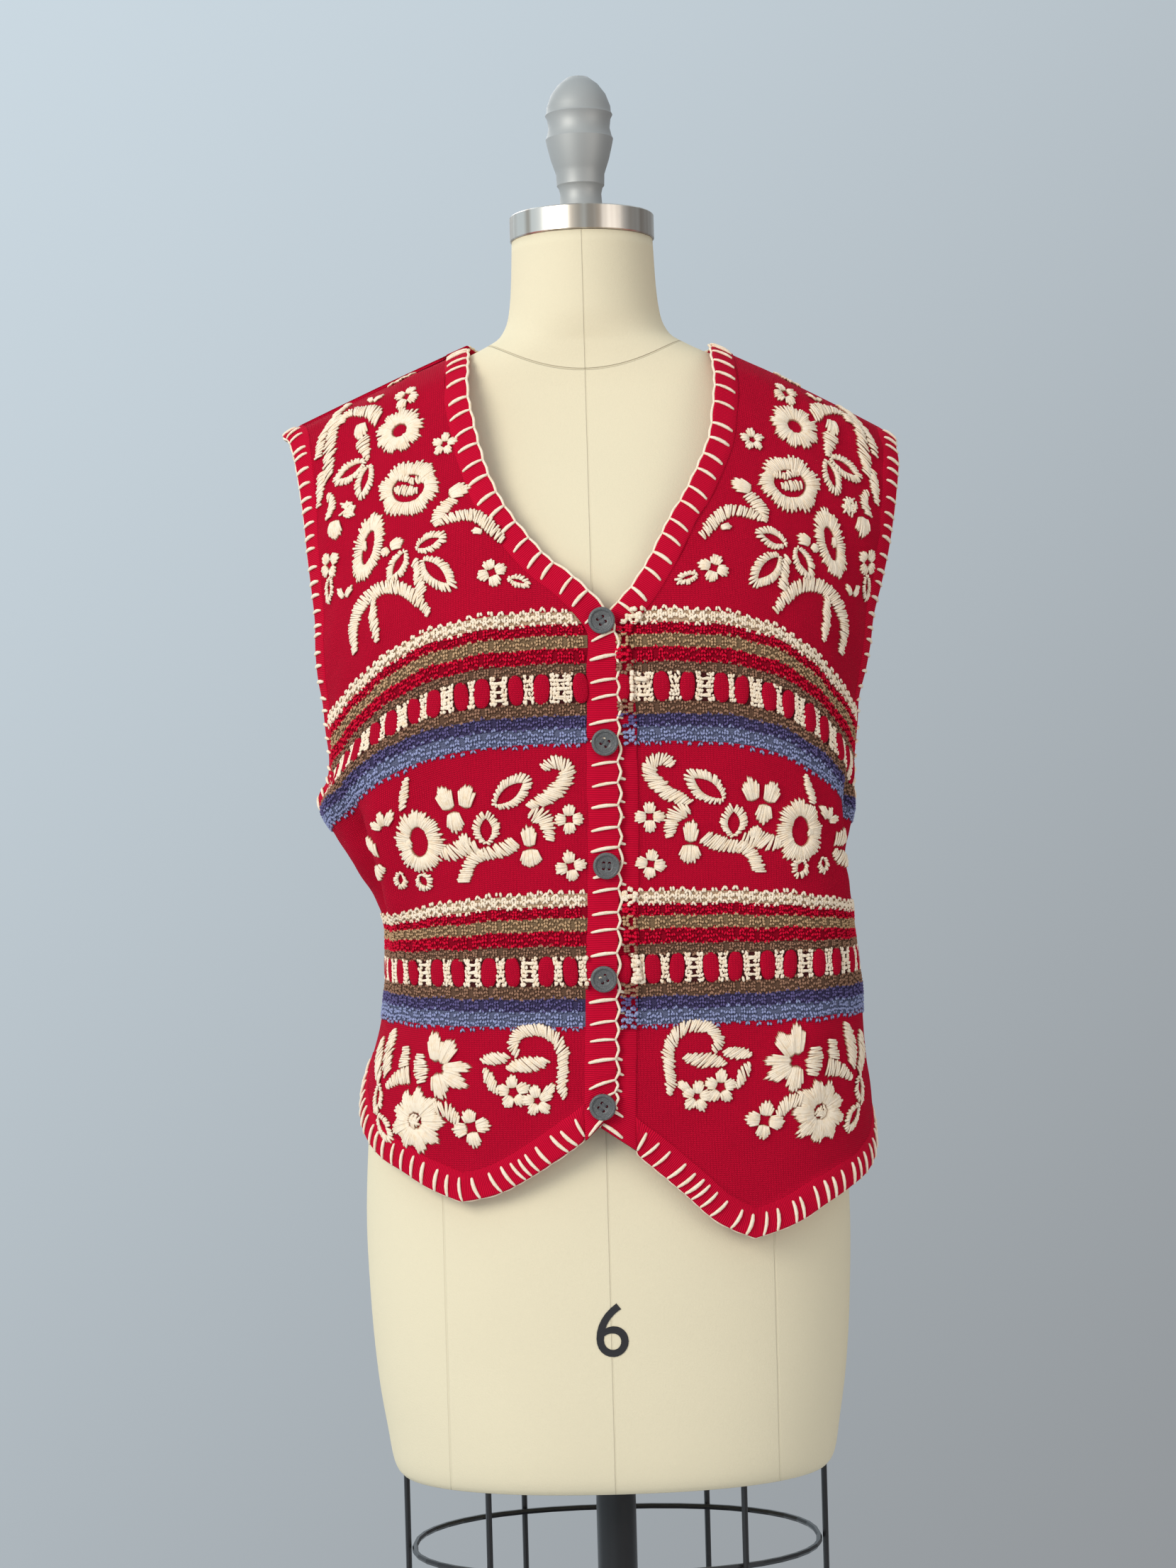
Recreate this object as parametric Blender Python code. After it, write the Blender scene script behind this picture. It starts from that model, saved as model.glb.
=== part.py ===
"""Sleeveless knitted waistcoat, buttoned over a dressmaker's form on a pole with a wire skirt cage.

Metres, +Z up. The origin is on the floor under the pole, and the front faces -Y.
Right and left are the wearer's. Cloth is worked out on one map: a point of the cloth is given
by its distance across from the front or back line, and by its knitted row.
"""

import math

import bmesh
import bpy
import numpy as np
from mathutils import Matrix

# Driving sizes
TORSO_BOTTOM = 0.540
NECK_TOP = 1.4487
FRONT_LINE_X = 0.008
PANEL_THICKNESS = 0.0021
BAND_THICKNESS = 0.0030
SEAM_GAP = 0.0004
BAND_GAP = 0.0006
FOLD_FADE = 0.028
BUTTONHOLE_BAND_WIDTH = 0.0215
BUTTON_BAND_WIDTH = 0.0240
NECK_BAND_WIDTH = 0.0175
ARMHOLE_BAND_WIDTH = 0.0160
HEM_BAND_WIDTH = 0.0200
OVERLAP_LIFT = 0.0038
BUTTON_RADIUS = 0.0088
BUTTON_HEIGHT = 0.0034
POLE_RADIUS = 0.0148
WIRE_RADIUS = 0.0022
BASE_RADIUS = 0.232
BASE_TOP = 0.056

FRONT, BACK = "front", "back"
RIGHT, LEFT = -1, 1

# Cross-sections of the padded form, from its flat underside to the top of its neck
FORM_COLUMNS = ("height", "half_width", "front", "back", "squareness")
FORM_SECTIONS = (
    (TORSO_BOTTOM, 0.1585, 0.104, 0.113, 2.3),
    (0.5435, 0.1615, 0.107, 0.116, 2.3),
    (0.552, 0.1645, 0.110, 0.119, 2.3),
    (0.570, 0.1675, 0.112, 0.121, 2.3),
    (0.610, 0.1735, 0.113, 0.124, 2.3),
    (0.660, 0.1775, 0.113, 0.126, 2.3),
    (0.720, 0.1795, 0.111, 0.125, 2.3),
    (0.780, 0.1770, 0.107, 0.118, 2.25),
    (0.840, 0.1660, 0.101, 0.104, 2.2),
    (0.900, 0.1460, 0.094, 0.090, 2.2),
    (0.950, 0.1300, 0.089, 0.082, 2.15),
    (0.990, 0.1240, 0.088, 0.081, 2.1),
    (1.030, 0.1290, 0.096, 0.084, 2.1),
    (1.070, 0.1400, 0.110, 0.090, 2.2),
    (1.110, 0.1500, 0.122, 0.095, 2.3),
    (1.150, 0.1560, 0.127, 0.098, 2.4),
    (1.190, 0.1620, 0.121, 0.100, 2.5),
    (1.230, 0.1670, 0.106, 0.100, 2.6),
    (1.266, 0.1725, 0.086, 0.097, 2.7),
    (1.292, 0.1735, 0.070, 0.090, 2.7),
    (1.310, 0.1700, 0.060, 0.083, 2.7),
    (1.3245, 0.1610, 0.054, 0.078, 2.7),
    (1.3363, 0.1460, 0.050, 0.073, 2.6),
    (1.3473, 0.1250, 0.048, 0.068, 2.5),
    (1.3583, 0.1010, 0.047, 0.064, 2.4),
    (1.3683, 0.0790, 0.047, 0.061, 2.3),
    (1.3780, 0.0635, 0.049, 0.059, 2.1),
    (1.392, 0.0568, 0.0515, 0.057, 2.0),
    (1.415, 0.0540, 0.0520, 0.056, 2.0),
    (NECK_TOP, 0.0525, 0.0525, 0.0525, 2.0),
)
FORM_SIDES = 40
BUST_SIDE_X = 0.082
BUST_HEIGHT = 1.142
BUST_SPREAD_X = 0.048
BUST_SPREAD_Z = 0.050
BUST_DEPTH = 0.010

# Rows of the cloth, from the shoulder ridge to below the hem. Each is one section of the waistcoat:
# its height at the front or back line, how far it reaches at each side, its depth in front and
# behind, how square its corners are, and how far it hangs lower at the sides than in the middle.
CLOTH_COLUMNS = (
    "row", "height", "half_right", "half_left", "front", "back", "side_y",
    "front_square", "back_square", "drop_right", "drop_left", "drop_power",
)
CLOTH_ROWS = (
    (1.4355, 1.4080, 0.235, 0.238, -0.012, 0.012, 0.012, 2.0, 2.0, 0.099, 0.115, 1.10),
    (1.4052, 1.4005, 0.233, 0.237, 0.022, 0.040, 0.012, 2.2, 2.2, 0.098, 0.114, 1.14),
    (1.3718, 1.3850, 0.228, 0.236, 0.051, 0.070, 0.011, 2.4, 2.4, 0.097, 0.112, 1.22),
    (1.3405, 1.3560, 0.221, 0.229, 0.071, 0.087, 0.010, 2.6, 2.6, 0.096, 0.110, 1.36),
    (1.3032, 1.3160, 0.215, 0.220, 0.090, 0.097, 0.008, 2.8, 2.8, 0.094, 0.106, 1.65),
    (1.2602, 1.2660, 0.210, 0.208, 0.1085, 0.103, 0.006, 2.8, 2.8, 0.091, 0.099, 2.2),
    (1.2146, 1.2150, 0.206, 0.198, 0.1260, 0.105, 0.004, 2.8, 2.8, 0.084, 0.090, 3.0),
    (1.1630, 1.1630, 0.200, 0.189, 0.1360, 0.105, 0.002, 2.8, 2.8, 0.074, 0.079, 4.0),
    (1.1200, 1.1200, 0.197, 0.187, 0.1370, 0.105, 0.000, 2.8, 2.8, 0.068, 0.072, 4.2),
    (1.0910, 1.0910, 0.204, 0.186, 0.1360, 0.105, 0.000, 2.9, 2.8, 0.060, 0.066, 4.2),
    (1.0650, 1.0650, 0.194, 0.183, 0.1350, 0.105, 0.000, 3.0, 2.8, 0.053, 0.058, 4.0),
    (1.0300, 1.0300, 0.180, 0.180, 0.1330, 0.105, 0.000, 3.1, 2.8, 0.042, 0.043, 3.8),
    (0.9900, 0.9900, 0.166, 0.181, 0.1310, 0.105, 0.000, 3.1, 2.8, 0.026, 0.024, 3.4),
    (0.9500, 0.9500, 0.159, 0.183, 0.1290, 0.106, 0.000, 3.0, 2.8, 0.010, 0.010, 3.0),
    (0.9100, 0.9100, 0.159, 0.186, 0.1270, 0.108, 0.000, 2.9, 2.8, 0.000, 0.000, 3.0),
    (0.8700, 0.8700, 0.164, 0.189, 0.1250, 0.112, 0.000, 2.8, 2.7, -0.004, -0.001, 3.0),
    (0.8300, 0.8300, 0.175, 0.192, 0.1240, 0.117, 0.000, 2.7, 2.6, -0.004, -0.002, 3.0),
    (0.7950, 0.7950, 0.183, 0.195, 0.1230, 0.123, 0.000, 2.6, 2.5, -0.003, -0.002, 3.0),
    (0.7500, 0.7500, 0.184, 0.195, 0.1220, 0.128, 0.000, 2.6, 2.5, 0.000, 0.000, 3.0),
    (0.7000, 0.7000, 0.184, 0.194, 0.1220, 0.130, 0.000, 2.6, 2.5, 0.000, 0.000, 3.0),
)
RIDGE_ROW = CLOTH_ROWS[0][0]
CLOTH_BUST_DEPTH = 0.0045

# The largest folds: soft ridges (depth above 0) and troughs along a straight stretch of the cloth
FOLD_COLUMNS = (
    "side", "face", "across_from", "row_from", "across_to", "row_to", "spread", "depth",
)
FOLDS = (
    (RIGHT, FRONT, 0.216, 1.105, 0.214, 0.930, 0.016, -0.0140),
    (RIGHT, FRONT, 0.176, 1.090, 0.172, 0.930, 0.012, 0.0050),
    (LEFT, FRONT, 0.218, 1.115, 0.222, 0.990, 0.015, -0.0130),
    (LEFT, FRONT, 0.182, 1.100, 0.190, 0.960, 0.012, 0.0030),
    (RIGHT, FRONT, 0.120, 0.900, 0.150, 0.770, 0.016, 0.0030),
    (LEFT, FRONT, 0.150, 0.900, 0.120, 0.760, 0.018, 0.0030),
    (RIGHT, BACK, 0.095, 1.110, 0.075, 0.850, 0.017, -0.0045),
    (LEFT, BACK, 0.100, 1.130, 0.085, 0.860, 0.018, -0.0045),
    (RIGHT, BACK, 0.030, 1.020, 0.022, 0.840, 0.014, 0.0035),
    (LEFT, BACK, 0.045, 1.060, 0.035, 0.850, 0.014, 0.0035),
    (RIGHT, BACK, 0.170, 1.060, 0.160, 0.860, 0.018, -0.0060),
    (LEFT, BACK, 0.172, 1.060, 0.165, 0.860, 0.018, -0.0060),
)

# Edges of the front panels, where their bands begin. The neck edge is given by its place in a
# front view, the rest by the distance across the cloth.
# Each point of the front and hem edges is (distance across, height).
FRONT_EDGE = {
    RIGHT: ((0.0220, 0.821), (0.0190, 0.907), (0.0150, 0.990), (0.0140, 1.073), (0.0120, 1.152)),
    LEFT: ((0.0120, 0.810), (0.0160, 0.907), (0.0190, 0.990), (0.0200, 1.073), (0.0180, 1.152)),
}
# Each point of the neck edge is (x, height).
NECK_EDGE = {
    RIGHT: (
        (-0.0200, 1.1730), (-0.0490, 1.1975), (-0.0730, 1.2296), (-0.0880, 1.2610),
        (-0.0965, 1.2920), (-0.1020, 1.3240),
    ),
    LEFT: (
        (0.0400, 1.1690), (0.0555, 1.1925), (0.0705, 1.2210), (0.0885, 1.2500),
        (0.1030, 1.2850), (0.1090, 1.3180),
    ),
}
NECK_POINT_X = {RIGHT: -0.1030, LEFT: 0.1085}
HEM_EDGE = {
    RIGHT: (
        (0.0220, 0.821), (0.045, 0.8035), (0.072, 0.7865), (0.094, 0.7755), (0.112, 0.7715),
        (0.131, 0.7785), (0.152, 0.7885), (0.177, 0.7985), (0.203, 0.8120), (0.228, 0.8290),
    ),
    LEFT: (
        (0.0120, 0.810), (0.034, 0.7920), (0.057, 0.7715), (0.080, 0.7500), (0.097, 0.7410),
        (0.117, 0.7475), (0.142, 0.7590), (0.170, 0.7690), (0.200, 0.7800), (0.228, 0.7930),
    ),
}
HEM_POINT_INDEX = 4
SIDE_HEM_ROW = {RIGHT: 0.845, LEFT: 0.812}
BACK_HEM_ROW = 0.822
UNDERARM_ROW = 1.073

# Where the panels end at the armhole: the row, and the share of the way from front line to side
ARMHOLE_COLUMNS = ("row", "front_share", "back_share")
ARMHOLE_EDGE = (
    (UNDERARM_ROW, 1.000, 1.000),
    (1.078, 0.955, 0.960),
    (1.090, 0.912, 0.922),
    (1.115, 0.868, 0.885),
    (1.145, 0.838, 0.858),
    (1.185, 0.814, 0.838),
    (1.225, 0.802, 0.826),
    (1.275, 0.802, 0.822),
    (1.325, 0.818, 0.832),
    (1.375, 0.850, 0.858),
    (1.408, 0.880, 0.882),
    (RIDGE_ROW, 0.910, 0.910),
)
# The back neck's edge as (share of the way from the middle to the neck point, row)
BACK_NECK_EDGE = ((0.92, 1.4020), (0.74, 1.3640), (0.45, 1.3385), (0.0, 1.3225))
BUTTON_HEIGHTS = (1.154, 1.074, 0.988, 0.909, 0.816)
BUTTON_ACROSS = 0.0120

# How many strips each panel has, and which of its edge's stations lie on its corners
FRONT_COLUMNS, HEM_POINT_COLUMN = 12, 5
PANEL_ROWS, NECK_STATION, UNDERARM_STATION = 25, 14, 9
BACK_COLUMNS, BACK_SHOULDER_COLUMNS = 24, 8
ARMHOLE_SAMPLES, SEAM_SAMPLES = 22, 8
EDGE_BLEND_POWER = 3

# Colours, roughness and metal share of the materials
MATERIALS = {
    "red_knit": ((0.52, 0.012, 0.035), 0.90, 0.0),
    "red_band": ((0.46, 0.010, 0.030), 0.92, 0.0),
    "grey_button": ((0.075, 0.080, 0.090), 0.45, 0.2),
    "form_jersey": ((0.76, 0.68, 0.48), 0.85, 0.0),
    "bright_steel": ((0.62, 0.60, 0.57), 0.22, 1.0),
    "silver_paint": ((0.40, 0.40, 0.41), 0.42, 0.6),
    "black_enamel": ((0.012, 0.011, 0.012), 0.35, 0.0),
}


def clear_scene():
    for thing in list(bpy.data.objects):
        bpy.data.objects.remove(thing)


def make_materials():
    made = {}
    for name, (colour, roughness, metallic) in MATERIALS.items():
        material = bpy.data.materials.new(name)
        material.use_nodes = True
        shader = material.node_tree.nodes["Principled BSDF"]
        shader.inputs["Base Color"].default_value = (*colour, 1.0)
        shader.inputs["Roughness"].default_value = roughness
        shader.inputs["Metallic"].default_value = metallic
        made[name] = material
    return made


def gentle_slopes(places, values):
    """Slopes of a smooth curve through the values that never overshoots them."""
    steps = np.diff(places)
    rises = np.diff(values) / steps
    slopes = np.zeros(len(values))
    before, after = rises[:-1], rises[1:]
    same_way = before * after > 0
    weight_1 = 2 * steps[1:] + steps[:-1]
    weight_2 = steps[1:] + 2 * steps[:-1]
    safe_before = np.where(same_way, before, 1.0)
    safe_after = np.where(same_way, after, 1.0)
    inner = (weight_1 + weight_2) / (weight_1 / safe_before + weight_2 / safe_after)
    slopes[1:-1] = np.where(same_way, inner, 0.0)
    slopes[0], slopes[-1] = rises[0], rises[-1]
    return slopes


class Table:
    """A table of sections whose columns are read anywhere along its first one."""

    def __init__(self, columns, rows):
        values = np.array(sorted(rows), float)
        self.places = values[:, 0]
        self.columns = {
            name: (values[:, k], gentle_slopes(self.places, values[:, k]))
            for k, name in enumerate(columns)
        }

    def read(self, name, at):
        values, slopes = self.columns[name]
        at = np.clip(np.asarray(at, float), self.places[0], self.places[-1])
        k = np.clip(np.searchsorted(self.places, at, side="right") - 1, 0, len(values) - 2)
        step = self.places[k + 1] - self.places[k]
        t = (at - self.places[k]) / step
        start = (1 + 2 * t) * (1 - t) ** 2 * values[k] + t * (1 - t) ** 2 * step * slopes[k]
        end = t * t * (3 - 2 * t) * values[k + 1] - t * t * (1 - t) * step * slopes[k + 1]
        return start + end


FORM = Table(FORM_COLUMNS, FORM_SECTIONS)
CLOTH = Table(CLOTH_COLUMNS, CLOTH_ROWS)
ARMHOLE = Table(ARMHOLE_COLUMNS, ARMHOLE_EDGE)


def smooth_step(t):
    t = np.clip(t, 0.0, 1.0)
    return t * t * (3 - 2 * t)


def bust(x, height, depth):
    """How far the bust stands forward of the plain section at a place of the front view."""
    across = np.exp(-(((np.abs(x) - BUST_SIDE_X) / BUST_SPREAD_X) ** 2))
    return depth * across * np.exp(-(((height - BUST_HEIGHT) / BUST_SPREAD_Z) ** 2))


class ClothMap:
    """One side of the front or back: where a distance across and a row of the cloth lie."""

    ROWS, STEPS = 260, 160

    def __init__(self, side, face):
        self.side, self.face = side, face
        self.half = "half_right" if side == RIGHT else "half_left"
        self.drop = "drop_right" if side == RIGHT else "drop_left"
        self.depth_sign = -1 if face == FRONT else 1
        self.row_grid = np.linspace(CLOTH.places[0], CLOTH.places[-1], self.ROWS)
        turn = np.linspace(0, math.pi / 2, self.STEPS)
        rows, turns = np.meshgrid(self.row_grid, turn, indexing="ij")
        points = self.on_section(turns, rows)
        steps = np.linalg.norm(np.diff(points, axis=1), axis=2)
        along = np.concatenate([np.zeros((self.ROWS, 1)), np.cumsum(steps, axis=1)], axis=1)
        self.widths = along[:, -1]
        self.shares = np.linspace(0, 1, self.STEPS)
        self.turns = np.array(
            [np.interp(self.shares, a / a[-1], turn) for a in along]
        )

    def on_section(self, turn, row):
        """A point of the plain section of a row, turned from the middle (0) to the side."""
        half = CLOTH.read(self.half, row)
        depth = CLOTH.read(self.face, row)
        square = CLOTH.read(self.face + "_square", row)
        side_y = CLOTH.read("side_y", row)
        out = np.sin(turn) ** (2 / square)
        ahead = np.clip(np.cos(turn), 0, 1) ** (2 / square)
        middle = FRONT_LINE_X if self.face == FRONT else 0.0
        x = self.side * half * out + middle * ahead
        y = side_y + (self.depth_sign * depth - side_y) * ahead
        fall = CLOTH.read(self.drop, row) * out ** CLOTH.read("drop_power", row)
        z = CLOTH.read("height", row) - fall
        if self.face == FRONT:
            y = y - bust(x, z, CLOTH_BUST_DEPTH) * ahead
        return np.stack([x, y, z], axis=-1)

    def width(self, row):
        """Distance across the cloth from the middle line to the side seam."""
        return np.interp(row, self.row_grid, self.widths)

    def plain(self, across, row):
        across, row = np.broadcast_arrays(np.asarray(across, float), np.asarray(row, float))
        share = np.clip(across / self.width(row), 0, 1)
        step = self.row_grid[1] - self.row_grid[0]
        r = np.clip((row - self.row_grid[0]) / step, 0, self.ROWS - 1.001)
        s = share * (self.STEPS - 1) * (1 - 1e-9)
        i, j = r.astype(int), s.astype(int)
        fr, fs = r - i, s - j
        j = np.clip(j, 0, self.STEPS - 2)
        low = self.turns[i, j] * (1 - fs) + self.turns[i, j + 1] * fs
        high = self.turns[i + 1, j] * (1 - fs) + self.turns[i + 1, j + 1] * fs
        return self.on_section(low * (1 - fr) + high * fr, row)

    def normal(self, points_at, across, row, reach=0.0015):
        """Outward normal by finite differences of a function of place."""
        edge = self.width(row)
        low = np.clip(across - reach, 0, edge - reach)
        high = np.minimum(across + reach, edge)
        along = points_at(high, row) - points_at(low, row)
        top = np.minimum(row + reach, RIDGE_ROW)
        up = points_at(across, top) - points_at(across, top - 2 * reach)
        normal = np.cross(along, up) * self.side * -self.depth_sign
        return normal / np.linalg.norm(normal, axis=-1, keepdims=True)

    def fold_depth(self, across, row):
        total = np.zeros(np.broadcast(across, row).shape)
        for values in FOLDS:
            fold = dict(zip(FOLD_COLUMNS, values))
            if (fold["side"], fold["face"]) != (self.side, self.face):
                continue
            run = fold["across_to"] - fold["across_from"]
            rise = fold["row_to"] - fold["row_from"]
            length = math.hypot(run, rise)
            dx, dy = across - fold["across_from"], row - fold["row_from"]
            along = (dx * run + dy * rise) / length
            aside = (dx * rise - dy * run) / length
            ends = smooth_step(along / length * 3) * smooth_step((1 - along / length) * 3)
            total = total + fold["depth"] * ends * np.exp(-((aside / fold["spread"]) ** 2))
        return total * smooth_step((self.width(row) - across) / FOLD_FADE)

    def lift(self, across, row):
        """The right front lies over the left one at the buttons."""
        if (self.side, self.face) != (RIGHT, FRONT):
            return 0.0
        near = 1 - smooth_step((across - 0.020) / 0.050)
        low = 1 - smooth_step((row - 1.175) / 0.045)
        return OVERLAP_LIFT * near * low

    def at(self, across, row):
        """The middle of the cloth's thickness at a place."""
        across, row = np.broadcast_arrays(np.asarray(across, float), np.asarray(row, float))
        away = self.fold_depth(across, row) + self.lift(across, row)
        return self.plain(across, row) + self.normal(self.plain, across, row) * away[..., None]

    def normal_at(self, across, row):
        return self.normal(self.at, np.asarray(across, float), np.asarray(row, float))

    def row_of(self, across, height):
        """The row that lies at a height, at a distance across."""
        row = float(height)
        for _ in range(60):
            row += 0.8 * (height - float(self.at(across, row)[2]))
        return row

    def place_of(self, x, height):
        """Distance across and row of the cloth seen at x and height in a front view."""
        across, row = abs(x), float(height)
        for _ in range(120):
            point = self.at(across, row)
            across += 0.6 * self.side * (x - float(point[0]))
            row += 0.6 * (height - float(point[2]))
        return across, row


CLOTH_MAPS = {
    (side, face): ClothMap(side, face) for side in (RIGHT, LEFT) for face in (FRONT, BACK)
}


def spread_along(points, count, corners=()):
    """Points spread evenly along a polyline, with the corner points kept.

    Each corner is (its index in the polyline, its index among the spread points)."""
    points = np.array(points, float)
    along = np.concatenate([[0], np.cumsum(np.linalg.norm(np.diff(points, axis=0), axis=1))])
    stops = [(0, 0), *corners, (len(points) - 1, count)]
    places = []
    for (a, first), (b, last) in zip(stops, stops[1:]):
        stretch = np.linspace(along[a], along[b], last - first + 1)
        places.extend(stretch if last == count else stretch[:-1])
    return np.stack([np.interp(places, along, points[:, k]) for k in (0, 1)], axis=1)


def panel_places(inner, outer, bottom, top):
    """A grid of cloth places between four edges, each a list of (across, row)."""
    share_up = np.linspace(0, 1, len(inner))[:, None, None]
    share_out = np.linspace(0, 1, len(bottom))[None, :, None]
    ruled = (1 - share_out) * inner[:, None] + share_out * outer[:, None]
    low = (bottom - ruled[0])[None] * (1 - share_up) ** EDGE_BLEND_POWER
    high = (top - ruled[-1])[None] * share_up**EDGE_BLEND_POWER
    return ruled + low + high


def shell_mesh(name, points, normals, thickness):
    """A closed wall of that thickness about a grid of points."""
    rows, columns = points.shape[:2]
    half = thickness / 2
    outside = (points + normals * half).reshape(-1, 3)
    inside = (points - normals * half).reshape(-1, 3)
    count = rows * columns
    faces = []
    for r in range(rows - 1):
        for c in range(columns - 1):
            a, b = r * columns + c, r * columns + c + 1
            d, e = a + columns, b + columns
            for corners in ((a, b, e), (a, e, d)):
                faces.append(corners)
                faces.append(tuple(count + corner for corner in reversed(corners)))
    rim = [(r, 0) for r in range(rows)] + [(rows - 1, c) for c in range(1, columns)]
    rim += [(r, columns - 1) for r in range(rows - 2, -1, -1)]
    rim += [(0, c) for c in range(columns - 2, 0, -1)]
    ring = [r * columns + c for r, c in rim]
    for a, b in zip(ring, ring[1:] + ring[:1]):
        faces.append((a, b, count + b, count + a))
    return finished_mesh(name, np.concatenate([outside, inside]), faces)


def finished_mesh(name, points, faces):
    """A mesh whose faces all point outwards."""
    mesh = bpy.data.meshes.new(name)
    mesh.from_pydata([tuple(p) for p in points], [], faces)
    shape = bmesh.new()
    shape.from_mesh(mesh)
    bmesh.ops.recalc_face_normals(shape, faces=shape.faces)
    shape.to_mesh(mesh)
    shape.free()
    mesh.shade_smooth()
    mesh.set_sharp_from_angle(angle=math.radians(50))
    return mesh


def add_object(name, mesh, material, parent):
    thing = bpy.data.objects.new(name, mesh)
    thing.parent = parent
    mesh.materials.append(material)
    bpy.context.scene.collection.objects.link(thing)
    return thing


def side_edge(side, face):
    """A panel's edge up the side seam and round the armhole to the shoulder, as stations."""
    cloth = CLOTH_MAPS[side, face]
    seam_rows = np.linspace(SIDE_HEM_ROW[side], UNDERARM_ROW, SEAM_SAMPLES)
    armhole_rows = np.linspace(UNDERARM_ROW, RIDGE_ROW, ARMHOLE_SAMPLES)[1:]
    edge = [(float(cloth.width(row)) - SEAM_GAP / 2, row) for row in seam_rows]
    for row in armhole_rows:
        width = float(cloth.width(row))
        share = float(ARMHOLE.read(face + "_share", row))
        edge.append((min(share * width, width - SEAM_GAP / 2), row))
    return spread_along(edge, PANEL_ROWS, [(SEAM_SAMPLES - 1, UNDERARM_STATION)])


def shoulder_place(side, face):
    """Distance across and row of the neck point, at the inner end of the shoulder seam."""
    cloth = CLOTH_MAPS[side, face]
    across = abs(NECK_POINT_X[side])
    for _ in range(80):
        across += 0.7 * side * (NECK_POINT_X[side] - float(cloth.plain(across, RIDGE_ROW)[0]))
    return across, RIDGE_ROW


def front_edges(side):
    """The four edges of a front panel as stations: inner, outer, bottom and top."""
    cloth = CLOTH_MAPS[side, FRONT]
    straight = [(across, cloth.row_of(across, z)) for across, z in FRONT_EDGE[side]]
    neck = [cloth.place_of(x, z) for x, z in NECK_EDGE[side]]
    line = straight + neck + [shoulder_place(side, FRONT)]
    inner = spread_along(line, PANEL_ROWS, [(len(straight) - 1, NECK_STATION)])
    outer = side_edge(side, FRONT)
    hem = [(across, cloth.row_of(across, z)) for across, z in HEM_EDGE[side]]
    hem.append(tuple(outer[0]))
    bottom = spread_along(hem, FRONT_COLUMNS, [(HEM_POINT_INDEX, HEM_POINT_COLUMN)])
    top = spread_along([inner[-1], outer[-1]], FRONT_COLUMNS)
    return inner, outer, bottom, top


def seat_shoulder(points, face):
    """Parts the front and back a hair at the shoulder seam, where they meet."""
    shifted = points.copy()
    shifted[-1, ..., 1] += (-1 if face == FRONT else 1) * SEAM_GAP
    return shifted


def flat_on_seam(vectors):
    """Directions laid into the plane between front and back, for an edge on a side or shoulder seam."""
    flat = np.array(vectors, float)
    flat[..., 1] = 0
    return flat / np.linalg.norm(flat, axis=-1, keepdims=True)


def build_front(side, materials, parent):
    cloth = CLOTH_MAPS[side, FRONT]
    inner, outer, bottom, top = front_edges(side)
    places = panel_places(inner, outer, bottom, top)
    points = seat_shoulder(cloth.at(places[..., 0], places[..., 1]), FRONT)
    normals = cloth.normal_at(places[..., 0], places[..., 1])
    normals[-1] = flat_on_seam(normals[-1])
    normals[: UNDERARM_STATION + 1, -1] = flat_on_seam(normals[: UNDERARM_STATION + 1, -1])
    name = "front_right" if side == RIGHT else "front_left"
    mesh = shell_mesh(name, points, normals, PANEL_THICKNESS)
    return add_object(name, mesh, materials["red_knit"], parent)


def back_edges():
    """The edges of the back panel, with distance across negative on the right."""
    right, left = (side_edge(side, BACK) * (side, 1) for side in (RIGHT, LEFT))
    neck = back_neck(RIGHT) + back_neck(LEFT)[-2::-1]
    line = [tuple(right[-1]), *neck, tuple(left[-1])]
    shoulder = BACK_SHOULDER_COLUMNS
    top = spread_along(line, BACK_COLUMNS, [(1, shoulder), (len(line) - 2, BACK_COLUMNS - shoulder)])
    bend = (tuple(right[0]), (0.0, BACK_HEM_ROW), tuple(left[0]))
    bottom = [back_hem(bend, share) for share in np.linspace(0, 1, BACK_COLUMNS + 1)]
    return right, left, spread_along(bottom, BACK_COLUMNS), top


def back_hem(line, share):
    """The back hem: a shallow curve through its two ends and its middle."""
    (start_x, start), (_, middle), (end_x, end) = line
    row = start * (1 - share) * (1 - 2 * share)
    row += 4 * middle * share * (1 - share) + end * share * (2 * share - 1)
    return start_x + (end_x - start_x) * share, row


def back_neck(side):
    """The back neck's edge from the shoulder seam to the middle, with distance across signed."""
    across, row = shoulder_place(side, BACK)
    edge = [(across * side, row)]
    return edge + [(across * share * side, row) for share, row in BACK_NECK_EDGE]


def back_at(places, function):
    """Reads both halves of the back for places whose distance across is signed."""
    right = function(CLOTH_MAPS[RIGHT, BACK], np.abs(places[..., 0]), places[..., 1])
    left = function(CLOTH_MAPS[LEFT, BACK], np.abs(places[..., 0]), places[..., 1])
    both = (right + left) / 2
    middle = np.abs(places[..., 0:1]) < 1e-6
    return np.where(middle, both, np.where(places[..., 0:1] < 0, right, left))


def build_back(materials, parent):
    right, left, bottom, top = back_edges()
    places = panel_places(right, left, bottom, top)
    points = seat_shoulder(back_at(places, lambda m, a, r: m.at(a, r)), BACK)
    normals = back_at(places, lambda m, a, r: m.normal_at(a, r))
    normals /= np.linalg.norm(normals, axis=-1, keepdims=True)
    shoulder = BACK_SHOULDER_COLUMNS
    for columns in (slice(0, shoulder + 1), slice(-shoulder - 1, None)):
        normals[-1, columns] = flat_on_seam(normals[-1, columns])
    for column in (0, -1):
        normals[: UNDERARM_STATION + 1, column] = flat_on_seam(normals[: UNDERARM_STATION + 1, column])
    mesh = shell_mesh("back", points, normals, PANEL_THICKNESS)
    return add_object("back", mesh, materials["red_knit"], parent)


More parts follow.
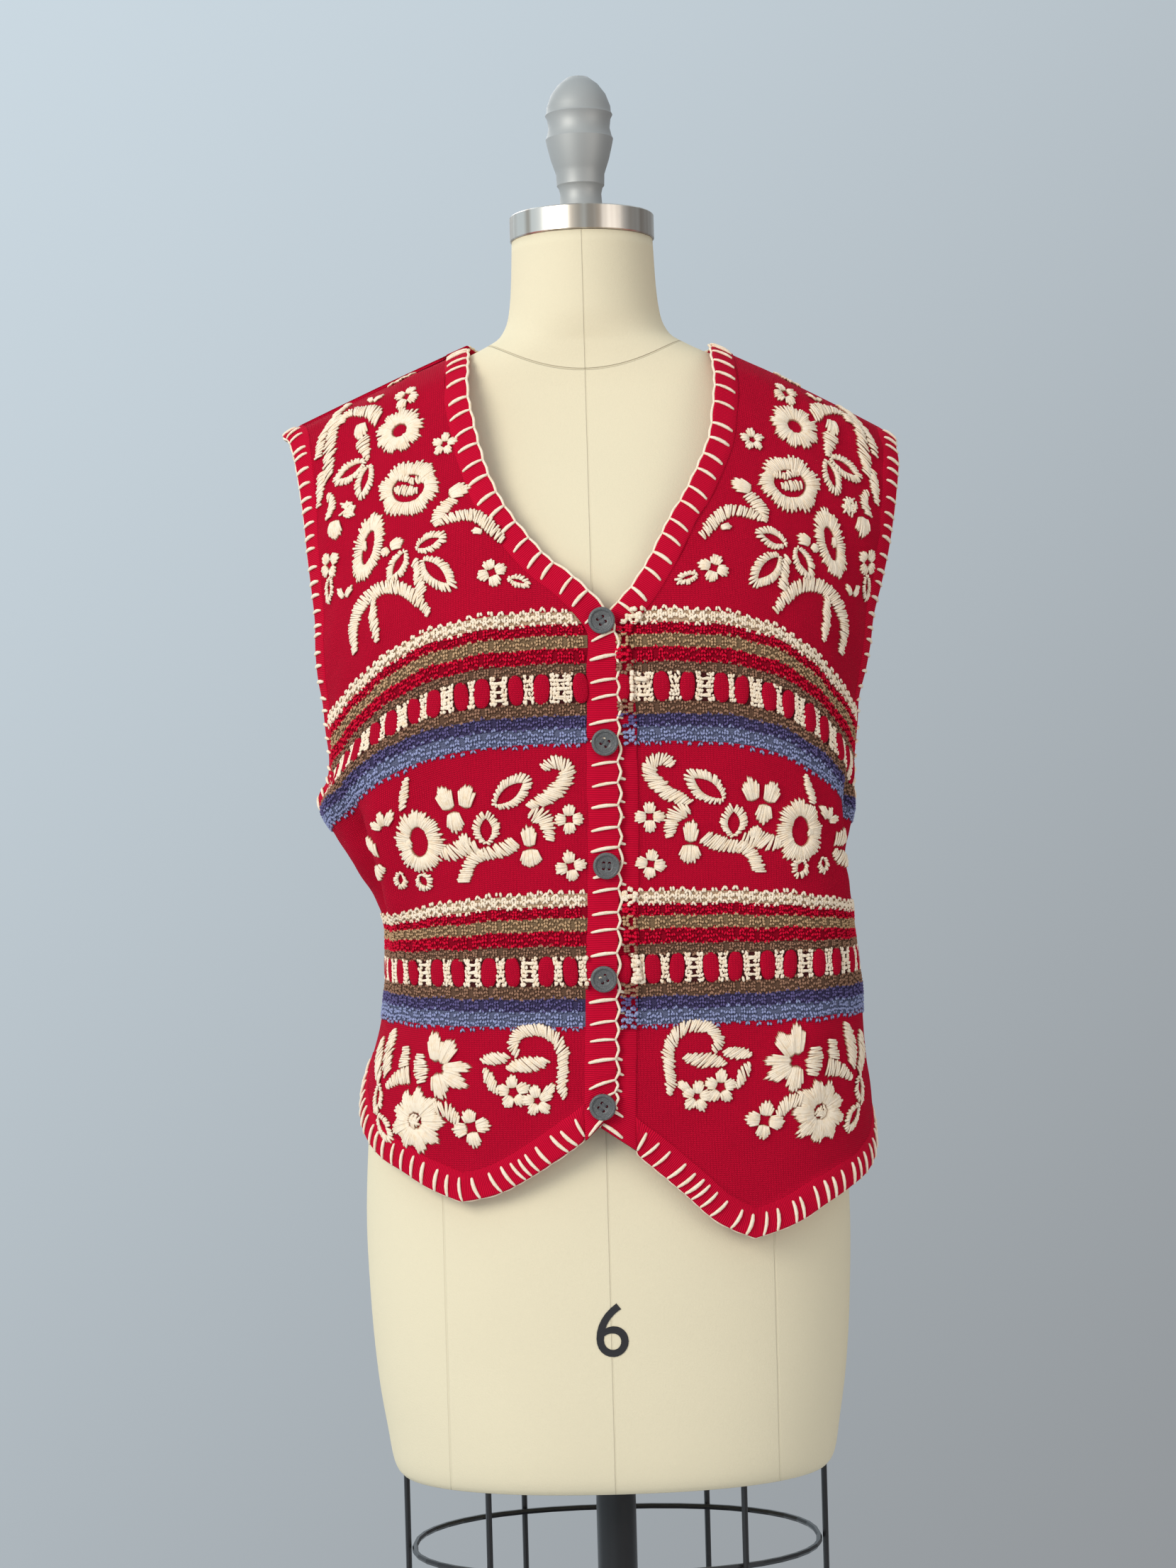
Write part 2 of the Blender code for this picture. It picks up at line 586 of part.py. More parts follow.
def edge_frames(cloth, places, outwards):
    """Point, outward direction and normal of the cloth along an edge of a panel.

    outwards is 1 where the cloth ends to the left of the way along the edge, else -1."""
    places = np.array(places, float)
    run = np.gradient(places, axis=0)
    run /= np.linalg.norm(run, axis=1, keepdims=True)
    away = np.stack([-run[:, 1], run[:, 0]], axis=1) * outwards
    step = 0.002
    points = cloth.at(places[:, 0], places[:, 1])
    normals = cloth.normal_at(places[:, 0], places[:, 1])
    inside = places - away * step
    inner_points = cloth.at(inside[:, 0], inside[:, 1])
    out = points - inner_points
    return points, out, normals


def square_up(points, out, normals, closed=False):
    """Makes each frame's directions square to the way along the edge and to each other."""
    if closed:
        along = np.roll(points, -1, axis=0) - np.roll(points, 1, axis=0)
    else:
        along = np.gradient(points, axis=0)
    along /= np.linalg.norm(along, axis=1, keepdims=True)
    out = out / np.linalg.norm(out, axis=1, keepdims=True)
    normals = normals - along * (normals * along).sum(1, keepdims=True)
    normals /= np.linalg.norm(normals, axis=1, keepdims=True)
    flat = out - along * (out * along).sum(1, keepdims=True)
    flat -= normals * (flat * normals).sum(1, keepdims=True)
    flat /= np.linalg.norm(flat, axis=1, keepdims=True)
    return flat, normals


def relaxed(values, times, closed):
    """Directions evened out along an edge."""
    for _ in range(times):
        if closed:
            values = (np.roll(values, 1, axis=0) + 2 * values + np.roll(values, -1, axis=0)) / 4
        else:
            inner = (values[:-2] + 2 * values[1:-1] + values[2:]) / 4
            values = np.concatenate([values[:1], inner, values[-1:]])
    return values / np.linalg.norm(values, axis=1, keepdims=True)


def seat_band_end(out, normals, end):
    """Lays the end of a band into the plane of the seam that it reaches."""
    normals[end] = flat_on_seam(normals[end])
    out[end] = flat_on_seam(out[end])
    out[end] -= normals[end] * (out[end] @ normals[end])
    out[end] /= np.linalg.norm(out[end])


def band_mesh(name, points, out, normals, widths, closed=False):
    """A doubled band that runs along an edge: flat, with its free edge rounded."""
    half = BAND_THICKNESS / 2
    widths = np.broadcast_to(np.asarray(widths, float), (len(points),))
    section = (
        (0.0, BAND_GAP, -half), (0.0, BAND_GAP, half), (1.0, -1.3 * half, half),
        (1.0, 0.0, 0.40 * half), (1.0, 0.0, -0.40 * half), (1.0, -1.3 * half, -half),
    )
    stations = []
    for share, shift, rise in section:
        across = (widths * share + shift)[:, None]
        stations.append(points + out * across + normals * rise)
    grid = np.stack(stations, axis=1)
    count, sides = grid.shape[:2]
    faces = []
    for k in range(count if closed else count - 1):
        following = (k + 1) % count
        for s in range(sides):
            t = (s + 1) % sides
            faces.append((k * sides + s, k * sides + t, following * sides + t, following * sides + s))
    if not closed:
        faces.append(tuple(range(sides)))
        faces.append(tuple((count - 1) * sides + s for s in reversed(range(sides))))
    return finished_mesh(name, grid.reshape(-1, 3), faces)


def build_front_band(side, materials, parent):
    """The buttonhole band (right) or button band (left), which goes on as the neck band."""
    cloth = CLOTH_MAPS[side, FRONT]
    inner = front_edges(side)[0]
    foot = HEM_BAND_WIDTH * (0.90 if side == RIGHT else 0.80)
    start = np.array([[inner[0, 0], inner[0, 1] - foot]])
    line = np.concatenate([start, inner])
    points, out, normals = edge_frames(cloth, line, 1)
    points[-1] = seat_shoulder(points[-1:][None], FRONT)[0, 0]
    out, normals = square_up(points, relaxed(out, 3, False), normals)
    seat_band_end(out, normals, -1)
    band = BUTTONHOLE_BAND_WIDTH if side == RIGHT else BUTTON_BAND_WIDTH
    count = len(points)
    share = smooth_step((np.arange(count) - NECK_STATION + 1) / 3)
    widths = band + (NECK_BAND_WIDTH - band) * share
    name = "front_band_right" if side == RIGHT else "front_band_left"
    mesh = band_mesh(name, points, out, normals, widths)
    add_object(name, mesh, materials["red_band"], parent)
    return points, out, normals


def build_back_neck_band(materials, parent):
    top = back_edges()[3]
    line = top[BACK_SHOULDER_COLUMNS:-BACK_SHOULDER_COLUMNS]
    middle = len(line) // 2
    halves = []
    for side, part in ((RIGHT, line[: middle + 1]), (LEFT, line[middle:])):
        cloth = CLOTH_MAPS[side, BACK]
        places = np.abs(part) if side == RIGHT else part
        way = -1 if side == RIGHT else 1
        halves.append(edge_frames(cloth, places, way))
    joined = []
    for k in range(3):
        seam = (halves[0][k][-1:] + halves[1][k][:1]) / 2
        joined.append(np.concatenate([halves[0][k][:-1], seam, halves[1][k][1:]]))
    points, out, normals = joined
    points[0, 1] += SEAM_GAP
    points[-1, 1] += SEAM_GAP
    out, normals = square_up(points, relaxed(out, 3, False), normals)
    for k in (0, -1):
        seat_band_end(out, normals, k)
    mesh = band_mesh("neck_band_back", points, out, normals, NECK_BAND_WIDTH)
    add_object("neck_band_back", mesh, materials["red_band"], parent)


def build_armhole_band(side, materials, parent):
    """A closed band round the armhole, up the front edge and down the back one."""
    front_line = front_edges(side)[1][UNDERARM_STATION:]
    back_line = np.abs(back_edges()[0 if side == RIGHT else 1])[UNDERARM_STATION:][::-1]
    front = edge_frames(CLOTH_MAPS[side, FRONT], front_line, -1)
    back = edge_frames(CLOTH_MAPS[side, BACK], back_line, 1)
    joined = []
    for k in range(3):
        tip = (front[k][-1:] + back[k][:1]) / 2
        pit = (front[k][:1] + back[k][-1:]) / 2
        joined.append(np.concatenate([pit, front[k][1:-1], tip, back[k][1:-1]]))
    points, out, normals = joined
    out, normals = square_up(points, relaxed(out, 4, True), relaxed(normals, 2, True), closed=True)
    name = "armhole_band_right" if side == RIGHT else "armhole_band_left"
    mesh = band_mesh(name, points, out, normals, ARMHOLE_BAND_WIDTH, closed=True)
    add_object(name, mesh, materials["red_band"], parent)


def build_hem_band(side, materials, parent):
    """The band under a front: it starts beside the front band and runs round the point."""
    cloth = CLOTH_MAPS[side, FRONT]
    bottom = front_edges(side)[2]
    points, out, normals = edge_frames(cloth, bottom, -1)
    out, normals = square_up(points, relaxed(out, 1, False), normals)
    start_along = points[1] - points[0]
    start_along /= np.linalg.norm(start_along)
    points[0] += start_along * SEAM_GAP
    out[0] = np.array([0.0, 0.0, -1.0])
    out[0] -= normals[0] * (out[0] @ normals[0])
    out[0] /= np.linalg.norm(out[0])
    widths = np.full(len(points), HEM_BAND_WIDTH)
    widths[0] = HEM_BAND_WIDTH * 0.95
    seat_band_end(out, normals, -1)
    name = "hem_band_right" if side == RIGHT else "hem_band_left"
    mesh = band_mesh(name, points, out, normals, widths)
    add_object(name, mesh, materials["red_band"], parent)


def build_back_hem_band(materials, parent):
    bottom = back_edges()[2]
    middle = len(bottom) // 2
    halves = []
    for side, part in ((RIGHT, bottom[: middle + 1]), (LEFT, bottom[middle:])):
        places = np.abs(part) if side == RIGHT else part
        way = 1 if side == RIGHT else -1
        halves.append(edge_frames(CLOTH_MAPS[side, BACK], places, way))
    joined = []
    for k in range(3):
        seam = (halves[0][k][-1:] + halves[1][k][:1]) / 2
        joined.append(np.concatenate([halves[0][k][:-1], seam, halves[1][k][1:]]))
    points, out, normals = joined
    out, normals = square_up(points, relaxed(out, 2, False), normals)
    for k in (0, -1):
        seat_band_end(out, normals, k)
    mesh = band_mesh("hem_band_back", points, out, normals, HEM_BAND_WIDTH)
    add_object("hem_band_back", mesh, materials["red_band"], parent)


def spun_mesh(name, profile, sides):
    """A turned shape from (radius, height) pairs, bottom to top; radius 0 closes an end."""
    points, rings = [], []
    for radius, height in profile:
        if radius == 0:
            rings.append([len(points)])
            points.append((0, 0, height))
            continue
        ring = []
        for k in range(sides):
            angle = 2 * math.pi * k / sides
            ring.append(len(points))
            points.append((radius * math.cos(angle), radius * math.sin(angle), height))
        rings.append(ring)
    faces = []
    for low, high in zip(rings, rings[1:]):
        for k in range(sides):
            following = (k + 1) % sides
            if len(low) == 1:
                faces.append((low[0], high[following], high[k]))
            elif len(high) == 1:
                faces.append((low[k], low[following], high[0]))
            else:
                faces.append((low[k], low[following], high[following], high[k]))
    if len(rings[0]) > 1:
        faces.append(tuple(reversed(rings[0])))
    if len(rings[-1]) > 1:
        faces.append(tuple(rings[-1]))
    return finished_mesh(name, points, faces)


def button_mesh():
    """A four-hole button with a raised rim, its flat back at height 0."""
    radius, height = BUTTON_RADIUS, BUTTON_HEIGHT
    profile = (
        (radius * 0.80, 0.0), (radius * 0.97, height * 0.35), (radius, height * 0.70),
        (radius * 0.93, height), (radius * 0.80, height * 0.97), (radius * 0.70, height * 0.70),
    )
    return spun_mesh("button", profile, 20)


def build_buttons(materials, parent, band):
    points, out, normals = band
    shape = button_mesh()
    for number, height in enumerate(BUTTON_HEIGHTS, start=1):
        straight = slice(0, NECK_STATION + 3)
        place, direction, facing = (
            np.array([np.interp(height, points[straight, 2], v[straight, k]) for k in range(3)])
            for v in (points, out, normals)
        )
        facing /= np.linalg.norm(facing)
        rise = BAND_THICKNESS / 2 + 2 * SEAM_GAP
        seat = place + direction * BUTTON_ACROSS + facing * rise
        mesh = shape.copy()
        across = np.cross((0, 0, 1), facing)
        across /= np.linalg.norm(across)
        up = np.cross(facing, across)
        button = add_object(f"button_{number}", mesh, materials["grey_button"], parent)
        turned = Matrix(np.stack([across, up, facing], axis=1).tolist()).to_4x4()
        button.matrix_world = Matrix.Translation(seat.tolist()) @ turned
        holes = button_hole_cutter(number, parent)
        holes.matrix_world = button.matrix_world.copy()
        cut = button.modifiers.new("thread_holes", "BOOLEAN")
        cut.operation = "DIFFERENCE"
        cut.object = holes
    bpy.data.meshes.remove(shape)


def button_hole_cutter(number, parent):
    """Four thread holes, as one cutter."""
    shape = bmesh.new()
    spread, hole_radius, reach = 0.0019, 0.00095, 0.004
    for sx in (-1, 1):
        for sy in (-1, 1):
            made = bmesh.ops.create_cone(
                shape, cap_ends=True, segments=6, radius1=hole_radius, radius2=hole_radius,
                depth=2 * reach,
            )
            bmesh.ops.translate(shape, verts=made["verts"], vec=(sx * spread, sy * spread, 0))
    mesh = bpy.data.meshes.new("hole_cutter")
    shape.to_mesh(mesh)
    shape.free()
    cutter = bpy.data.objects.new(f"hole_cutter_{number}", mesh)
    cutter.parent = parent
    cutter.hide_render = True
    cutter.display_type = "WIRE"
    bpy.context.scene.collection.objects.link(cutter)
    return cutter


def form_ring(height, sides, inset=0.0):
    """One cross-section of the form as points, from the front round by the left."""
    half = float(FORM.read("half_width", height)) - inset
    front = float(FORM.read("front", height)) - inset
    back = float(FORM.read("back", height)) - inset
    power = 2 / float(FORM.read("squareness", height))
    ring = []
    for k in range(sides):
        angle = 2 * math.pi * k / sides
        out, ahead = math.sin(angle), math.cos(angle)
        x = half * math.copysign(abs(out) ** power, out)
        depth = front if ahead > 0 else back
        y = -depth * math.copysign(abs(ahead) ** power, ahead)
        if ahead > 0:
            y -= float(bust(x, height, BUST_DEPTH)) * abs(ahead) ** power
        ring.append((x, y, height))
    return ring


def build_form(materials, parent):
    points, faces = [], []
    for row in FORM_SECTIONS:
        points.extend(form_ring(row[0], FORM_SIDES))
    for r in range(len(FORM_SECTIONS) - 1):
        for k in range(FORM_SIDES):
            following = (k + 1) % FORM_SIDES
            a, b = r * FORM_SIDES + k, r * FORM_SIDES + following
            faces.append((a, b, b + FORM_SIDES, a + FORM_SIDES))
    faces.append(tuple(reversed(range(FORM_SIDES))))
    top = (len(FORM_SECTIONS) - 1) * FORM_SIDES
    faces.append(tuple(range(top, top + FORM_SIDES)))
    mesh = finished_mesh("form_torso", points, faces)
    add_object("form_torso", mesh, materials["form_jersey"], parent)


def build_neck_fittings(materials, parent):
    """The steel ring on the neck, and the turned finial on it."""
    ring_bottom, ring_top, ring_radius, bevel = NECK_TOP + 0.0003, 1.4675, 0.0537, 0.0008
    ring = (
        (ring_radius - bevel, ring_bottom), (ring_radius, ring_bottom + bevel),
        (ring_radius, ring_top - bevel), (ring_radius - bevel, ring_top),
    )
    add_object("neck_ring", spun_mesh("neck_ring", ring, 48), materials["bright_steel"], parent)
    foot = ring_top + 0.0003
    finial = (
        (0.0180, foot), (0.0180, 1.4720), (0.0158, 1.4770), (0.0153, 1.4841), (0.0163, 1.4887),
        (0.0177, 1.4905), (0.0180, 1.4990), (0.0192, 1.5026), (0.0217, 1.5100),
        (0.0240, 1.5193), (0.0252, 1.5250), (0.0242, 1.5272), (0.0228, 1.5330),
        (0.0236, 1.5400), (0.0251, 1.5430), (0.0240, 1.5452), (0.0238, 1.5490),
        (0.0205, 1.5580), (0.0150, 1.5655), (0.0080, 1.5710), (0.0, 1.5730),
    )
    add_object("finial", spun_mesh("finial", finial, 24), materials["silver_paint"], parent)


def build_stand(materials, parent):
    """A plain weighted base and the pole that carries the form."""
    base = (
        (BASE_RADIUS - 0.004, 0.0), (BASE_RADIUS, 0.004), (BASE_RADIUS, 0.010),
        (BASE_RADIUS - 0.005, 0.015), (0.120, 0.023), (0.040, 0.031), (0.028, 0.038),
        (0.026, BASE_TOP),
    )
    add_object("base", spun_mesh("base", base, 40), materials["black_enamel"], parent)
    pole = (
        (POLE_RADIUS, BASE_TOP + 0.0003), (POLE_RADIUS, TORSO_BOTTOM - 0.0003),
    )
    add_object("pole", spun_mesh("pole", pole, 20), materials["black_enamel"], parent)


def tube_curve(name, points, radius, closed, material, parent):
    """A round wire through the points."""
    curve = bpy.data.curves.new(name, "CURVE")
    curve.dimensions = "3D"
    curve.bevel_depth = radius
    curve.bevel_resolution = 1 if closed else 2
    curve.use_fill_caps = not closed
    spline = curve.splines.new("POLY")
    spline.points.add(len(points) - 1)
    for place, point in zip(spline.points, points):
        place.co = (*point, 1.0)
    spline.use_cyclic_u = closed
    curve.materials.append(material)
    thing = bpy.data.objects.new(name, curve)
    thing.parent = parent
    bpy.context.scene.collection.objects.link(thing)
    return thing


CAGE_HOOP_HEIGHTS = {"cage_hoop_upper": 0.481, "cage_hoop_lower": 0.162}
CAGE_WIRE_INSET = 0.0031
CAGE_WIRE_ANGLES = (33, 90, 156, 204, 270, 327)


def cage_point(angle_degrees, inset, height):
    """A point of the cage, whose plan is the outline of the form's underside moved in."""
    half, front, back = (
        float(FORM.read(name, TORSO_BOTTOM)) - inset for name in ("half_width", "front", "back")
    )
    power = 2 / float(FORM.read("squareness", TORSO_BOTTOM))
    out, ahead = math.sin(math.radians(angle_degrees)), math.cos(math.radians(angle_degrees))
    x = half * math.copysign(abs(out) ** power, out)
    y = -(front if ahead > 0 else back) * math.copysign(abs(ahead) ** power, ahead)
    return x, y, height


def build_cage(materials, parent):
    """Six wires under the form, on the outside of two hoops."""
    hoop_inset = CAGE_WIRE_INSET + 2 * WIRE_RADIUS + 0.0005
    for name, height in CAGE_HOOP_HEIGHTS.items():
        points = [cage_point(360 * k / 44, hoop_inset, height) for k in range(44)]
        tube_curve(name, points, WIRE_RADIUS, True, materials["black_enamel"], parent)
    bottom = CAGE_HOOP_HEIGHTS["cage_hoop_lower"] - 2 * WIRE_RADIUS
    for number, angle in enumerate(CAGE_WIRE_ANGLES, start=1):
        ends = [
            cage_point(angle, CAGE_WIRE_INSET, bottom),
            cage_point(angle, CAGE_WIRE_INSET, TORSO_BOTTOM - 0.0004),
        ]
        name = f"cage_wire_{number}"
        tube_curve(name, ends, WIRE_RADIUS, False, materials["black_enamel"], parent)


def main():
    clear_scene()
    materials = make_materials()
    form = bpy.data.objects.new("form_on_stand", None)
    waistcoat = bpy.data.objects.new("waistcoat", None)
    for group in (form, waistcoat):
        bpy.context.scene.collection.objects.link(group)
    build_stand(materials, form)
    build_cage(materials, form)
    build_form(materials, form)
    build_neck_fittings(materials, form)
    for side in (RIGHT, LEFT):
        build_front(side, materials, waistcoat)
        build_armhole_band(side, materials, waistcoat)
        build_hem_band(side, materials, waistcoat)
    build_back(materials, waistcoat)
    build_back_neck_band(materials, waistcoat)
    build_back_hem_band(materials, waistcoat)
    build_front_band(LEFT, materials, waistcoat)
    band = build_front_band(RIGHT, materials, waistcoat)
    build_buttons(materials, waistcoat, band)


main()
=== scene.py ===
"""Looks of the knitted waistcoat on its dress form, laid out as an add-on.

Every knitted piece lies on one map of the cloth, the same as its solid's: a point is given by its
distance across from the front or back line, and by its knitted row. Metres, +Z up, front at -Y.
Right and left are the wearer's.
"""

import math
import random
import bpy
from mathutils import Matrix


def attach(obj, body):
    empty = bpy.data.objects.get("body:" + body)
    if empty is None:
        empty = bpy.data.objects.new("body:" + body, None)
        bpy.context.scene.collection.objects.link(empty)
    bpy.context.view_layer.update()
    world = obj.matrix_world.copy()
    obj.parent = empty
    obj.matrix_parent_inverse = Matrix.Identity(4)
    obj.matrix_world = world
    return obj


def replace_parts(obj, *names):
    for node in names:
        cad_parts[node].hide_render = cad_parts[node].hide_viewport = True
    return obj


bl_info = {
    "name": "Knitted waistcoat on a dress form",
    "version": (1, 0, 0),
    "blender": (4, 5, 0),
    "location": "View3D > Sidebar > Waistcoat",
    "description": "Builds the knitted, embroidered waistcoat and its dress form around the solids",
    "category": "Object",
}

from functools import lru_cache

import bmesh
import bpy
import numpy as np
from mathutils import Matrix, Vector

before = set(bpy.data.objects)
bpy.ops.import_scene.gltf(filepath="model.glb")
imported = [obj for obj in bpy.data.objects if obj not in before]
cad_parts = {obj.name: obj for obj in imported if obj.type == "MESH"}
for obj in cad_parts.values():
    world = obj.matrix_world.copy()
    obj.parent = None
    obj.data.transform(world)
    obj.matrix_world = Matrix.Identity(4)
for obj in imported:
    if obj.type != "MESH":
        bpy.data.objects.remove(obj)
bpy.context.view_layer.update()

FRONT, BACK = "front", "back"
RIGHT, LEFT = -1, 1

# Sizes shared with the solids
TORSO_BOTTOM = 0.540
NECK_TOP = 1.4487
FRONT_LINE_X = 0.008
PANEL_THICKNESS = 0.0021
BAND_THICKNESS = 0.0030
SEAM_GAP = 0.0004
FOLD_FADE = 0.028
BUTTONHOLE_BAND_WIDTH = 0.0215
BUTTON_BAND_WIDTH = 0.0240
NECK_BAND_WIDTH = 0.0175
ARMHOLE_BAND_WIDTH = 0.0160
HEM_BAND_WIDTH = 0.0200
OVERLAP_LIFT = 0.0038
BUTTON_RADIUS = 0.0088
BUTTON_HEIGHT = 0.0034

# Cross-sections of the padded form, from its flat underside to the top of its neck
FORM_COLUMNS = ("height", "half_width", "front", "back", "squareness")
FORM_SECTIONS = (
    (TORSO_BOTTOM, 0.1585, 0.104, 0.113, 2.3),
    (0.5435, 0.1615, 0.107, 0.116, 2.3),
    (0.552, 0.1645, 0.110, 0.119, 2.3),
    (0.570, 0.1675, 0.112, 0.121, 2.3),
    (0.610, 0.1735, 0.113, 0.124, 2.3),
    (0.660, 0.1775, 0.113, 0.126, 2.3),
    (0.720, 0.1795, 0.111, 0.125, 2.3),
    (0.780, 0.1770, 0.107, 0.118, 2.25),
    (0.840, 0.1660, 0.101, 0.104, 2.2),
    (0.900, 0.1460, 0.094, 0.090, 2.2),
    (0.950, 0.1300, 0.089, 0.082, 2.15),
    (0.990, 0.1240, 0.088, 0.081, 2.1),
    (1.030, 0.1290, 0.096, 0.084, 2.1),
    (1.070, 0.1400, 0.110, 0.090, 2.2),
    (1.110, 0.1500, 0.122, 0.095, 2.3),
    (1.150, 0.1560, 0.127, 0.098, 2.4),
    (1.190, 0.1620, 0.121, 0.100, 2.5),
    (1.230, 0.1670, 0.106, 0.100, 2.6),
    (1.266, 0.1725, 0.086, 0.097, 2.7),
    (1.292, 0.1735, 0.070, 0.090, 2.7),
    (1.310, 0.1700, 0.060, 0.083, 2.7),
    (1.3245, 0.1610, 0.054, 0.078, 2.7),
    (1.3363, 0.1460, 0.050, 0.073, 2.6),
    (1.3473, 0.1250, 0.048, 0.068, 2.5),
    (1.3583, 0.1010, 0.047, 0.064, 2.4),
    (1.3683, 0.0790, 0.047, 0.061, 2.3),
    (1.3780, 0.0635, 0.049, 0.059, 2.1),
    (1.392, 0.0568, 0.0515, 0.057, 2.0),
    (1.415, 0.0540, 0.0520, 0.056, 2.0),
    (NECK_TOP, 0.0525, 0.0525, 0.0525, 2.0),
)
FORM_SIDES = 96
BUST_SIDE_X = 0.082
BUST_HEIGHT = 1.142
BUST_SPREAD_X = 0.048
BUST_SPREAD_Z = 0.050
BUST_DEPTH = 0.010

# Rows of the cloth, from the shoulder ridge to below the hem. Each is one section of the waistcoat:
# its height at the front or back line, how far it reaches at each side, its depth in front and
# behind, how square its corners are, and how far it hangs lower at the sides than in the middle.
CLOTH_COLUMNS = (
    "row", "height", "half_right", "half_left", "front", "back", "side_y",
    "front_square", "back_square", "drop_right", "drop_left", "drop_power",
)
CLOTH_ROWS = (
    (1.4355, 1.4080, 0.235, 0.238, -0.012, 0.012, 0.012, 2.0, 2.0, 0.099, 0.115, 1.10),
    (1.4052, 1.4005, 0.233, 0.237, 0.022, 0.040, 0.012, 2.2, 2.2, 0.098, 0.114, 1.14),
    (1.3718, 1.3850, 0.228, 0.236, 0.051, 0.070, 0.011, 2.4, 2.4, 0.097, 0.112, 1.22),
    (1.3405, 1.3560, 0.221, 0.229, 0.071, 0.087, 0.010, 2.6, 2.6, 0.096, 0.110, 1.36),
    (1.3032, 1.3160, 0.215, 0.220, 0.090, 0.097, 0.008, 2.8, 2.8, 0.094, 0.106, 1.65),
    (1.2602, 1.2660, 0.210, 0.208, 0.1085, 0.103, 0.006, 2.8, 2.8, 0.091, 0.099, 2.2),
    (1.2146, 1.2150, 0.206, 0.198, 0.1260, 0.105, 0.004, 2.8, 2.8, 0.084, 0.090, 3.0),
    (1.1630, 1.1630, 0.200, 0.189, 0.1360, 0.105, 0.002, 2.8, 2.8, 0.074, 0.079, 4.0),
    (1.1200, 1.1200, 0.197, 0.187, 0.1370, 0.105, 0.000, 2.8, 2.8, 0.068, 0.072, 4.2),
    (1.0910, 1.0910, 0.204, 0.186, 0.1360, 0.105, 0.000, 2.9, 2.8, 0.060, 0.066, 4.2),
    (1.0650, 1.0650, 0.194, 0.183, 0.1350, 0.105, 0.000, 3.0, 2.8, 0.053, 0.058, 4.0),
    (1.0300, 1.0300, 0.180, 0.180, 0.1330, 0.105, 0.000, 3.1, 2.8, 0.042, 0.043, 3.8),
    (0.9900, 0.9900, 0.166, 0.181, 0.1310, 0.105, 0.000, 3.1, 2.8, 0.026, 0.024, 3.4),
    (0.9500, 0.9500, 0.159, 0.183, 0.1290, 0.106, 0.000, 3.0, 2.8, 0.010, 0.010, 3.0),
    (0.9100, 0.9100, 0.159, 0.186, 0.1270, 0.108, 0.000, 2.9, 2.8, 0.000, 0.000, 3.0),
    (0.8700, 0.8700, 0.164, 0.189, 0.1250, 0.112, 0.000, 2.8, 2.7, -0.004, -0.001, 3.0),
    (0.8300, 0.8300, 0.175, 0.192, 0.1240, 0.117, 0.000, 2.7, 2.6, -0.004, -0.002, 3.0),
    (0.7950, 0.7950, 0.183, 0.195, 0.1230, 0.123, 0.000, 2.6, 2.5, -0.003, -0.002, 3.0),
    (0.7500, 0.7500, 0.184, 0.195, 0.1220, 0.128, 0.000, 2.6, 2.5, 0.000, 0.000, 3.0),
    (0.7000, 0.7000, 0.184, 0.194, 0.1220, 0.130, 0.000, 2.6, 2.5, 0.000, 0.000, 3.0),
)
RIDGE_ROW = CLOTH_ROWS[0][0]
CLOTH_BUST_DEPTH = 0.0045

# The largest folds: soft ridges (depth above 0) and troughs along a straight stretch of the cloth
FOLD_COLUMNS = (
    "side", "face", "across_from", "row_from", "across_to", "row_to", "spread", "depth",
)
FOLDS = (
    (RIGHT, FRONT, 0.216, 1.105, 0.214, 0.930, 0.016, -0.0140),
    (RIGHT, FRONT, 0.176, 1.090, 0.172, 0.930, 0.012, 0.0050),
    (LEFT, FRONT, 0.218, 1.115, 0.222, 0.990, 0.015, -0.0130),
    (LEFT, FRONT, 0.182, 1.100, 0.190, 0.960, 0.012, 0.0030),
    (RIGHT, FRONT, 0.120, 0.900, 0.150, 0.770, 0.016, 0.0030),
    (LEFT, FRONT, 0.150, 0.900, 0.120, 0.760, 0.018, 0.0030),
    (RIGHT, BACK, 0.095, 1.110, 0.075, 0.850, 0.017, -0.0045),
    (LEFT, BACK, 0.100, 1.130, 0.085, 0.860, 0.018, -0.0045),
    (RIGHT, BACK, 0.030, 1.020, 0.022, 0.840, 0.014, 0.0035),
    (LEFT, BACK, 0.045, 1.060, 0.035, 0.850, 0.014, 0.0035),
    (RIGHT, BACK, 0.170, 1.060, 0.160, 0.860, 0.018, -0.0060),
    (LEFT, BACK, 0.172, 1.060, 0.165, 0.860, 0.018, -0.0060),
)

# Edges of the front panels, where their bands begin. The neck edge is given by its place in a
# front view, the rest by the distance across the cloth.
# Each point of the front and hem edges is (distance across, height).
FRONT_EDGE = {
    RIGHT: ((0.0220, 0.821), (0.0190, 0.907), (0.0150, 0.990), (0.0140, 1.073), (0.0120, 1.152)),
    LEFT: ((0.0120, 0.810), (0.0160, 0.907), (0.0190, 0.990), (0.0200, 1.073), (0.0180, 1.152)),
}
